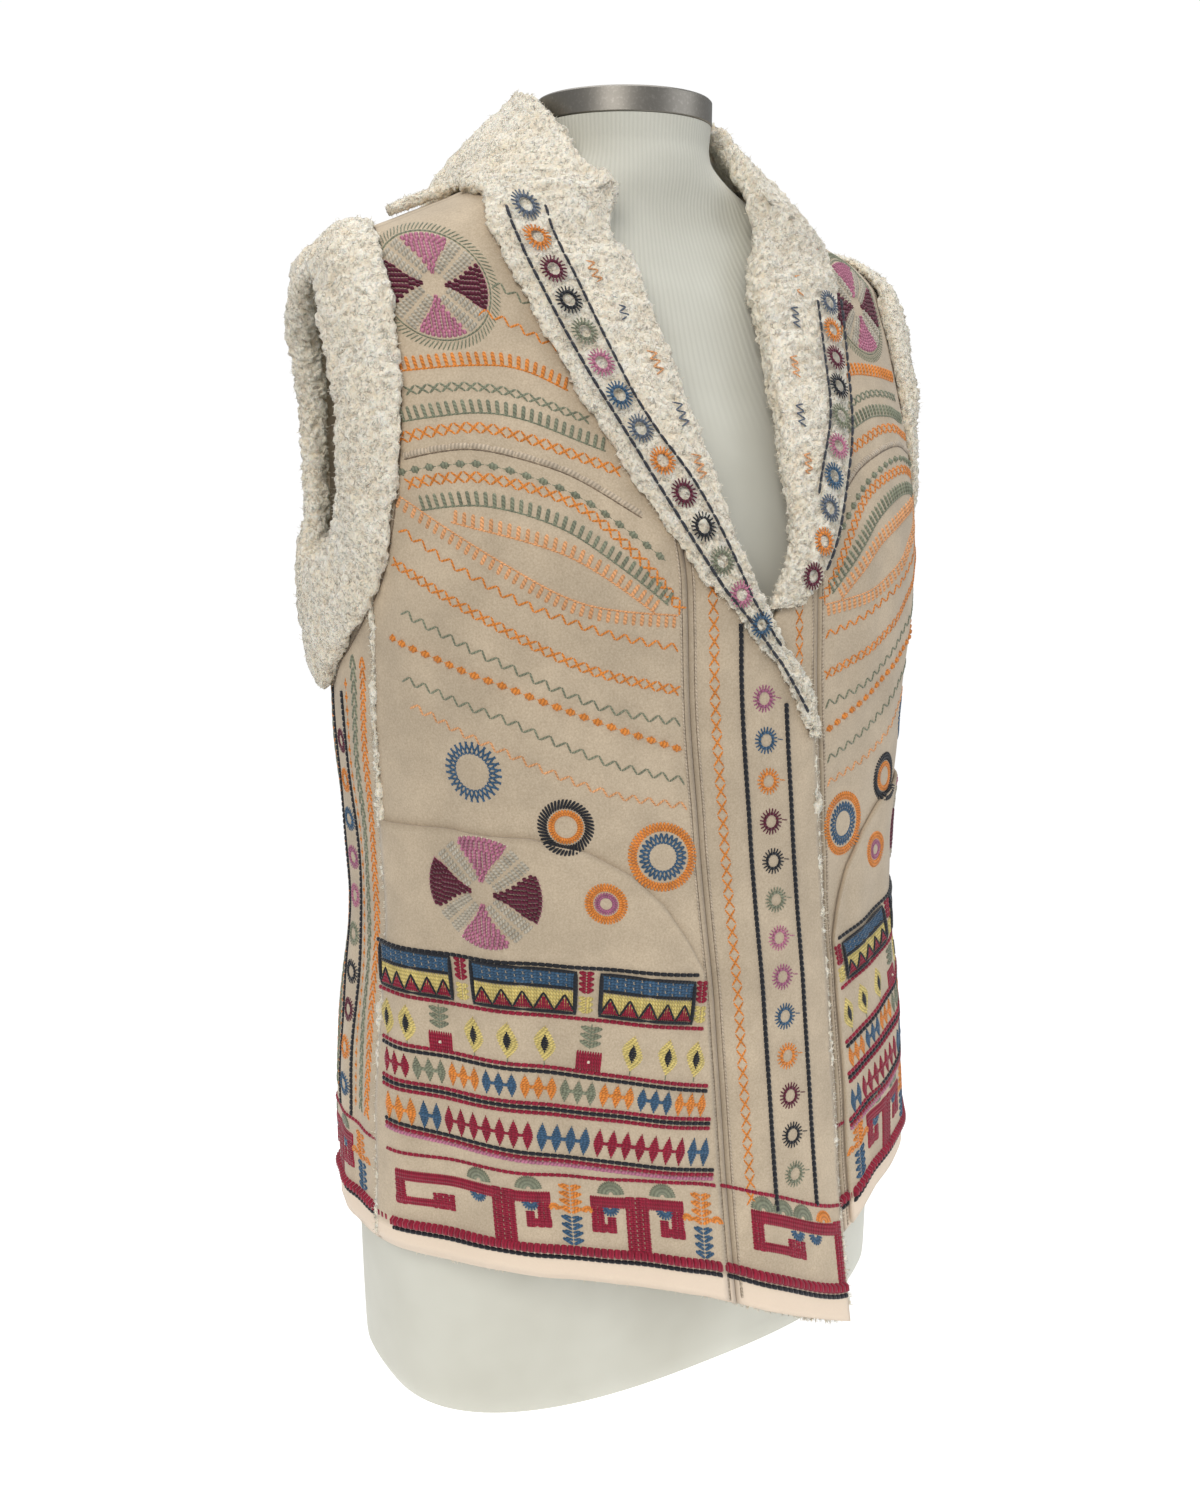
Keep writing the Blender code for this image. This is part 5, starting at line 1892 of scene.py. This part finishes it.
def back_threads(side):
    """Half of the back's rows: a yoke of combs and crosses over a column of rosettes."""
    base = lambda s, height: (math.pi - s / EDGE_REACH, height)
    batches = []
    rows = (("comb", "orange", 0.0052, 0.0066, 0.640), ("cross", "sage", 0.0078, 0.0060, 0.622),
            ("comb", "sage", 0.0052, 0.0066, 0.600), ("cross", "orange", 0.0075, 0.0064, 0.580),
            ("zigzag", "orange", 0.0110, 0.0060, 0.560))
    for kind, dye, pitch, tall, height in rows:
        path = path_place(((0.0, height - 0.020), (0.050, height - 0.012), (0.118, height)), base)
        batches.append(lay_row(side, path, row_marks, kind, pitch, tall, dye))
    for k, (height, size) in enumerate(((0.470, 1.0), (0.400, 0.85), (0.335, 0.7))):
        bands = [
            (0.0180 * size, 0.0250 * size, 54, ("orange", "black", "orange")[k], 0.0013, 0.10),
            (0.0095 * size, 0.0165 * size, 26, ("blue", "orange", "mauve")[k], 0.0011, 0.20),
            (0.0095 * size, 0.0165 * size, 26, ("blue", "orange", "mauve")[k], 0.0011, -0.20),
        ]
        batches.append(lay(side, base, bloom((0.066, height), bands)))
    for at, dye, kind in ((0.016, "orange", "cross"), (0.108, "sage", "zigzag")):
        path = path_place(((at, 0.190), (at, 0.340), (at, 0.520)), base)
        batches.append(lay_row(side, path, row_marks, kind, 0.0090, 0.0060, dye))
    return batches


def raw_edge(name, side, turn_of, low, high, thick, out, seed):
    """A narrow roll of pile that works out of a seam or an edge."""
    heights = np.linspace(low, high, 150)
    turns = turn_of(heights)
    lift = out + drape(side, turns, heights) + overlap_lift(side, turns, heights)
    centre = cloth(turns, heights, lift)
    around = unit(cloth(turns + 0.006, heights, lift) - centre)
    away = unit(cloth(turns, heights, lift + 0.01) - centre)
    rings = round_rings(centre, around, away, thick, 10)
    piece = pile_strip(name, rings, 16, int((high - low) / 0.0011), False, side)
    points, normals = fluff_up(piece, TUFT_HEIGHT, seed)
    add_fibres(name, points, normals, len(points) // 4, 0.0030, 0.00022, seed + 7)


def hem_wisps(name, side, first, last, count, seed):
    """Pile that hangs from behind the hem."""
    dice = np.random.default_rng(seed)
    along = dice.uniform(first, last, count)
    turns = turn_at(along, 0.12)
    heights = hem_height(side, turns) + 0.0006
    roots = sided(side, cloth(turns, heights, -WALL * 0.8))
    ways = np.tile([0.0, 0.0, -0.8], (count, 1)) + dice.normal(0, 0.2, (count, 3))
    strands(name, roots, ways, 0.0034, 0.00030, seed + 1)


def half_girth(height=0.14):
    """The distance along the cloth from the centre front to the centre back."""
    ring_points = outline(np.linspace(0, math.pi, 181), height)
    return float(np.linalg.norm(np.diff(ring_points, axis=0), axis=1).sum())


def build_vest():
    """Every piece of the vest, right side first."""
    declare = []
    seam_turn = lambda h: SIDE_SEAM_TURN - 0.002 + 0 * h
    for side, name in ((1, "right"), (-1, "left")):
        right = side > 0
        front = make_front(side, f"front_{name}")
        band = make_band(side, f"band_{name}")
        flank = make_side(side, f"side_{name}")
        pocket = make_pocket(side, f"pocket_{name}")
        declare += [
            (front, (0.33, 0.66), 0.125 if right else 0.119),
            (band, (0.10, 0.56) if right else (0.08, 0.52), 0.037 if right else 0.027),
            (flank, (0.14, 0.46), 0.0367),
            (pocket, (0.23, 0.29) if right else (0.23, 0.26), 0.053 if right else 0.045),
        ]
        make_collar(side, f"collar_{name}", 11 if right else 12)
        make_armband(side, f"armband_{name}", 13 if right else 14)
        make_shoulder_roll(side, f"shoulder_roll_{name}", 15 if right else 16)
        thread_piece(f"rows_front_{name}", front_rows(side) + front_blooms(side))
        thread_piece(f"border_pocket_{name}", pocket_border(side))
        thread_piece(f"border_hem_{name}", hem_border(side))
        thread_piece(f"rows_band_{name}", band_threads(side) + groove_piping(side))
        thread_piece(f"suns_lapel_{name}", lapel_threads(side))
        thread_piece(f"rows_side_{name}", side_threads(side) + armband_edge_shadow(side))
        thread_piece(f"rows_back_{name}", back_threads(side))
        seam = f"seam_pile_{name}"
        raw_edge(seam, side, seam_turn, 0.124, 0.516, 0.0018, 0.0004, 31 + side)
        first = -0.05 if right else 0.0
        hem_wisps(f"hem_wisps_{name}", side, first, half_girth(), 1500, 41 + side)
    edge_turn = lambda h: turn_at(smooth(CENTRE_SHIFT, 1, h) - FRONT_EDGE - 0.0004, h)
    raw_edge("edge_pile", 1, edge_turn, 0.064, 0.440, 0.0016, -0.0018, 51)
    back = make_back("back")
    declare.append((back, (0.52, 0.66), 0.260))


def form_section(height):
    """Half width, depths and squareness of the dress form at heights."""
    rows = list(FORM_SECTIONS)
    for level, width, front, back, square in VEST_SECTIONS:
        if SHOULDER_TIP <= level < 0.76:
            narrow = FORM_TIP_EASE * (1 - float(ease((level - SHOULDER_TIP) / 0.030)))
            depths = (front - SHOULDER_EASE, back - SHOULDER_EASE)
            rows.append((level - SHOULDER_DROP, width - narrow, *depths, square))
    rows += [(level, radius, radius, radius, 2.0) for level, radius in NECK_SECTIONS]
    return [smooth(rows, k, height) for k in (1, 2, 3, 4)]


def make_form(around=120, levels=210):
    """The limbless form, with its neck faired smoothly into its shoulders."""
    heights = NECK_TOP * (1 - (1 - np.linspace(0, 1, levels)) ** 1.35)
    reach = 0.011 * ease((heights - 0.68) / 0.03) * ease((NECK_TOP - heights) / 0.03)
    parts = [form_section(heights + reach * step) for step in (-1.0, -0.5, 0.0, 0.5, 1.0)]
    width, front, back, square = np.mean(parts, axis=0)
    share = ease((heights - 0.72) / 0.04)
    lean = smooth(LEAN, 1, heights) * (1 - share) + NECK_Y * share
    turns = np.linspace(0, 2 * math.pi, around, endpoint=False)
    across, ahead = np.sin(turns)[None], np.cos(turns)[None]
    power = (2 / square)[:, None]
    depth = np.where(ahead > 0, front[:, None], back[:, None])
    x = width[:, None] * np.sign(across) * np.abs(across) ** power
    y = lean[:, None] - depth * np.sign(ahead) * np.abs(ahead) ** power
    points = np.stack([x, y, heights[:, None] + 0 * x], -1)
    piece = new_piece("dress_form", points, ring_quads(levels, around), JERSEY, "jersey")
    close_up(piece.data)
    piece.data.set_sharp_from_angle(angle=math.radians(50))
    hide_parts("form_torso")


def make_cap(around=128):
    """The steel cap on the neck, turned with a fine chamfer at its rim."""
    low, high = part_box("neck_cap")
    radius = 0.5 * (high[0] - low[0])
    middle = [0.5 * (a + b) for a, b in zip(low, high)]
    profile = ((0.0, low[2]), (radius - 0.0006, low[2]), (radius, low[2] + 0.0006),
               (radius, high[2] - 0.0010), (radius - 0.0010, high[2]), (0.0, high[2]))
    form = bmesh.new()
    rings = []
    for reach, height in profile:
        steps = range(around) if reach else range(1)
        rings.append([form.verts.new((
            middle[0] + reach * math.sin(math.tau * k / around),
            middle[1] - reach * math.cos(math.tau * k / around), height,
        )) for k in steps])
    for first, second in zip(rings, rings[1:]):
        for k in range(around):
            corners = [first[k % len(first)], first[(k + 1) % len(first)],
                       second[(k + 1) % len(second)], second[k % len(second)]]
            form.faces.new(list(dict.fromkeys(corners)))
    bmesh.ops.recalc_face_normals(form, faces=form.faces)
    mesh = bpy.data.meshes.new("steel_cap")
    form.to_mesh(mesh)
    form.free()
    mesh.materials.append(STEEL)
    mesh.shade_smooth()
    mesh.set_sharp_from_angle(angle=math.radians(30))
    piece = bpy.data.objects.new("steel_cap", mesh)
    bpy.context.scene.collection.objects.link(piece)
    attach(piece, "root")
    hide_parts("neck_cap")


def build_stage():
    """A plain pale floor before a white backdrop."""
    pale, tree, shader, add = node_tree("pale_paper")
    _, grain = add_grain(tree, add, 40.0, 2.0)
    tone = ramp(add, [(0.2, (0.42, 0.42, 0.418)), (0.8, (0.45, 0.45, 0.448))])
    tree.links.new(grain.outputs["Coarse"], tone.inputs["Fac"])
    tree.links.new(tone.outputs["Color"], shader.inputs["Base Color"])
    set_inputs(shader, Roughness=0.9, Emission_Color=(1.0, 1.0, 1.0, 1.0), Emission_Strength=0.85)
    bpy.ops.mesh.primitive_plane_add(size=1.2, location=(0.0, 0.0, 0.0))
    floor = bpy.context.active_object
    floor.name = "studio_floor"
    floor.data.materials.append(pale)

    world = bpy.data.worlds.new("studio")
    world.use_nodes = True
    nodes, links = world.node_tree.nodes, world.node_tree.links
    glow = nodes["Background"]
    set_inputs(glow, Color=(0.96, 0.98, 1.0, 1.0), Strength=0.44)
    white = nodes.new("ShaderNodeBackground")
    set_inputs(white, Color=(1.0, 1.0, 1.0, 1.0), Strength=1.02)
    seen = nodes.new("ShaderNodeLightPath")
    mix = nodes.new("ShaderNodeMixShader")
    links.new(seen.outputs["Is Camera Ray"], mix.inputs[0])
    links.new(glow.outputs[0], mix.inputs[1])
    links.new(white.outputs[0], mix.inputs[2])
    links.new(mix.outputs[0], nodes["World Output"].inputs["Surface"])
    bpy.context.scene.world = world
    bpy.context.scene.view_settings.view_transform = "Standard"


def build_lights():
    """Three soft studio lights, each aimed at a height on the middle line."""
    lights = (
        ("key", (-1.7, -1.6, 1.9), 0.42, (1.3, 1.3), 34.0, (1.0, 0.975, 0.94)),
        ("fill", (1.6, -1.5, 1.2), 0.40, (1.6, 1.4), 12.0, (0.95, 0.97, 1.0)),
        ("top", (0.0, 0.4, 2.4), 0.40, (1.8, 1.8), 18.0, (1.0, 1.0, 1.0)),
    )
    for name, place, aim, size, power, colour in lights:
        data = bpy.data.lights.new(name, "AREA")
        data.shape = "RECTANGLE"
        data.size, data.size_y = size
        data.energy = power
        data.color = colour
        lamp = bpy.data.objects.new(name, data)
        lamp.location = place
        way = Vector((0.0, 0.0, aim)) - Vector(place)
        lamp.rotation_euler = way.to_track_quat("-Z", "Y").to_euler()
        bpy.context.scene.collection.objects.link(lamp)


def build_camera():
    """The photograph's viewpoint."""
    right = Vector((0.8480, -0.5299, 0.0)).normalized()
    forward = Vector((0.5183, 0.8295, -0.2079)).normalized()
    up = right.cross(forward)
    data = bpy.data.cameras.new("camera")
    data.lens = 36.0
    data.sensor_width = 36.0
    data.clip_start = 0.05
    camera = bpy.data.objects.new("camera", data)
    turn = Matrix((right, up, -forward)).transposed().to_4x4()
    camera.matrix_world = Matrix.Translation((-0.5354, -0.8210, 0.606)) @ turn
    bpy.context.scene.collection.objects.link(camera)
    bpy.context.scene.camera = camera


bpy.ops.object.select_all(action="DESELECT")
build_camera()
build_stage()
build_lights()
make_form()
make_cap()
build_vest()
